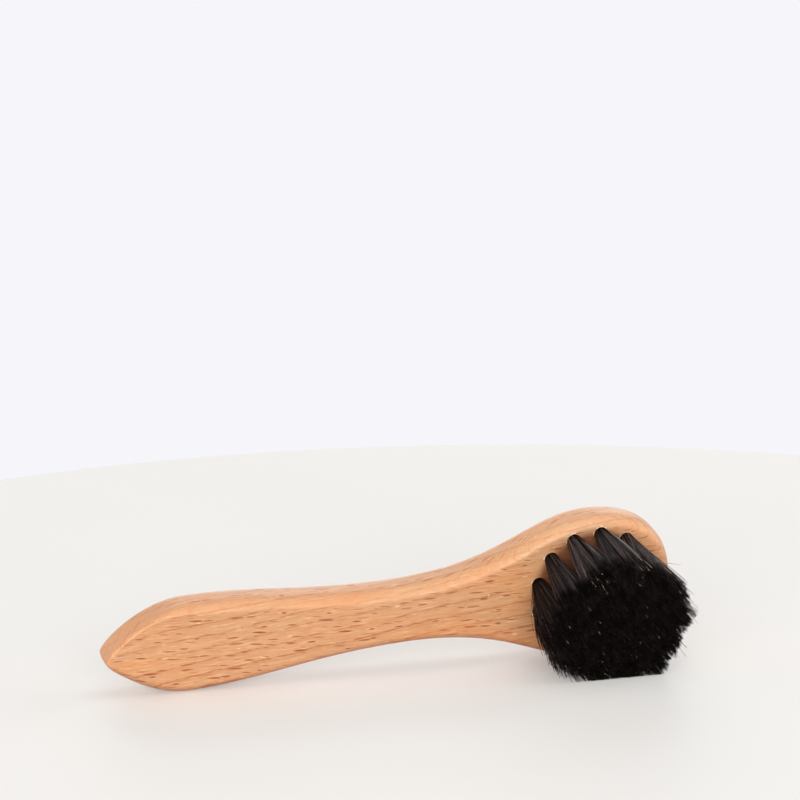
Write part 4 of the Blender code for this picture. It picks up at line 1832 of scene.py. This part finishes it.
@dataclass
class Staples:
    """The wire staples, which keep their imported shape."""

    finishes: Finishes

    def dress(self) -> None:
        """Give each staple the drawn wire's finish."""
        found = [node for name, node in frame["nodes"].items() if name.startswith("staple_")]
        for staple in found:
            staple.data.materials.clear()
            staple.data.materials.append(self.finishes.wire)
        LOG.info("staples: %d dressed", len(found))


@dataclass(frozen=True)
class Softbox:
    """One large soft lamp, with its size in metres and its power in watts."""

    name: str
    place: Vector
    aim: Vector
    size: tuple[float, float]
    watts: float
    colour: Colour = (1.0, 1.0, 1.0)

    def build(self) -> bpy.types.Object:
        """Hang the lamp and turn it to what it lights.

        Returns:
            The lamp's object.
        """
        lamp = bpy.data.lights.new(self.name, "AREA")
        lamp.shape = "RECTANGLE"
        lamp.size, lamp.size_y = self.size
        lamp.energy = self.watts
        lamp.color = self.colour
        turn = (self.aim - self.place).to_track_quat("-Z", "Y").to_matrix().to_4x4()
        return add_object(self.name, lamp, Matrix.Translation(self.place) @ turn)


@dataclass
class Studio:
    """Pale round table, white surroundings, soft lamps and the camera."""

    lie: Lie
    finishes: Finishes
    table_radius: float = 0.335
    table_centre: tuple[float, float] = (0.027, -0.050)
    table_thickness: float = 0.012
    table_sides: int = 256
    background: Colour = srgb(246, 246, 250)
    surroundings: Colour = (1.0, 1.0, 1.0)
    surroundings_strength: float = 0.28
    aim_station: float = 0.085
    azimuth: float = math.radians(-16.696)
    elevation: float = math.radians(12.621)
    distance: float = 1.0
    frame_right: float = 0.00278
    frame_up: float = 0.060996
    lens: float = 155.8
    sensor: float = 36.0
    lamps: tuple[Softbox, ...] = field(default_factory=lambda: (
        Softbox("top_softbox", Vector((0.1, -0.15, 1.4)), Vector((0, 0, 0)), (1.4, 1.3), 4.6),
        Softbox("front_softbox", Vector((-0.3, -2.2, 0.75)), Vector((0, 0, 0.02)), (1.9, 1.1), 33.5),
        Softbox("left_softbox", Vector((-2.2, -3.0, 1.1)), Vector((0, 0, 0.02)), (2.8, 1.9), 63.0),
        Softbox("right_softbox", Vector((3.2, 0.0, 1.15)), Vector((0, 0, 0.02)), (3.0, 2.2), 40.0),
        Softbox("back_softbox", Vector((0.6, 2.15, 0.9)), Vector((0, 0, 0.02)), (1.6, 1.3), 12.5),
    ))

    def build_table(self) -> bpy.types.Object:
        """The table: a thick round disc with its top at the height that the brush lies on.

        Returns:
            The table's object.
        """
        shape = bmesh.new()
        place = Matrix.Translation((*self.table_centre, -self.table_thickness / 2))
        bmesh.ops.create_cone(shape, cap_ends=True, segments=self.table_sides,
                              radius1=self.table_radius, radius2=self.table_radius,
                              depth=self.table_thickness, matrix=place)
        mesh = bpy.data.meshes.new("table")
        shape.to_mesh(mesh)
        shape.free()
        mesh.materials.append(self.finishes.table)
        table = add_object("table", mesh)
        return table

    def build_surroundings(self) -> None:
        """White all round: one level lights the brush, and the camera and mirrors see another."""
        world = bpy.data.worlds.new("surroundings")
        world.use_nodes = True
        graph = Graph(world.node_tree)
        light = graph.node("Background", {"Color": self.surroundings,
                                          "Strength": self.surroundings_strength})
        backdrop = graph.node("Background", {"Color": self.background, "Strength": 1.0})
        both = graph.node("MixShader", {0: graph.seen(), 1: light.outputs[0], 2: backdrop.outputs[0]})
        output = graph.node("OutputWorld")
        graph.plug(both.outputs[0], output.inputs["Surface"])
        bpy.context.scene.world = world

    def build_camera(self) -> bpy.types.Object:
        """The camera at the photograph's angle, aimed past the middle of the handle.

        Returns:
            The camera's object.
        """
        right = Vector((math.cos(self.azimuth), math.sin(self.azimuth), 0))
        level = Vector((math.sin(self.azimuth), -math.cos(self.azimuth), 0))
        back = level * math.cos(self.elevation) + Vector((0, 0, math.sin(self.elevation)))
        up = back.cross(right)
        aim = self.lie.matrix @ Vector((self.aim_station, 0, 0))
        place = aim + right * self.frame_right + up * self.frame_up + back * self.distance
        camera = bpy.data.cameras.new("camera")
        camera.lens = self.lens
        camera.sensor_width = self.sensor
        camera.sensor_fit = "HORIZONTAL"
        turn = Matrix((right, up, back)).transposed().to_4x4()
        made = add_object("camera", camera, Matrix.Translation(place) @ turn)
        bpy.context.scene.camera = made
        return made

    def build(self) -> None:
        """Set up everything round the brush."""
        self.build_table()
        self.build_surroundings()
        for lamp in self.lamps:
            lamp.build()
        self.build_camera()
        view = bpy.context.scene.view_settings
        view.view_transform = "Standard"
        LOG.info("studio: %d lamps", len(self.lamps))


def main() -> None:
    """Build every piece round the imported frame."""
    logging.basicConfig(level=logging.INFO, format="%(message)s")
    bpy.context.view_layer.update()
    remove_leftovers()
    rings = HoleRings()
    mount = frame["record"]["mounts"][0]
    back = Vector((rings.head_station, BeechBoard.thickness / 2, 0))
    lie = Lie.from_mount(mount, back)
    finishes = Finishes(lie)
    studio = Studio(lie, finishes)
    studio.build()
    board = BeechBoard(lie, rings, finishes)
    board.build()
    face = TrimmedFace(lie, rings, board.face - Hair.length)
    hair = Hair(lie, board, face, finishes)
    hair.build()
    LooseHairs(lie, board, hair, finishes).build()
    HoleBurrs(lie, board, finishes).build()
    Staples(finishes).dress()


if __name__ == "__main__":
    main()
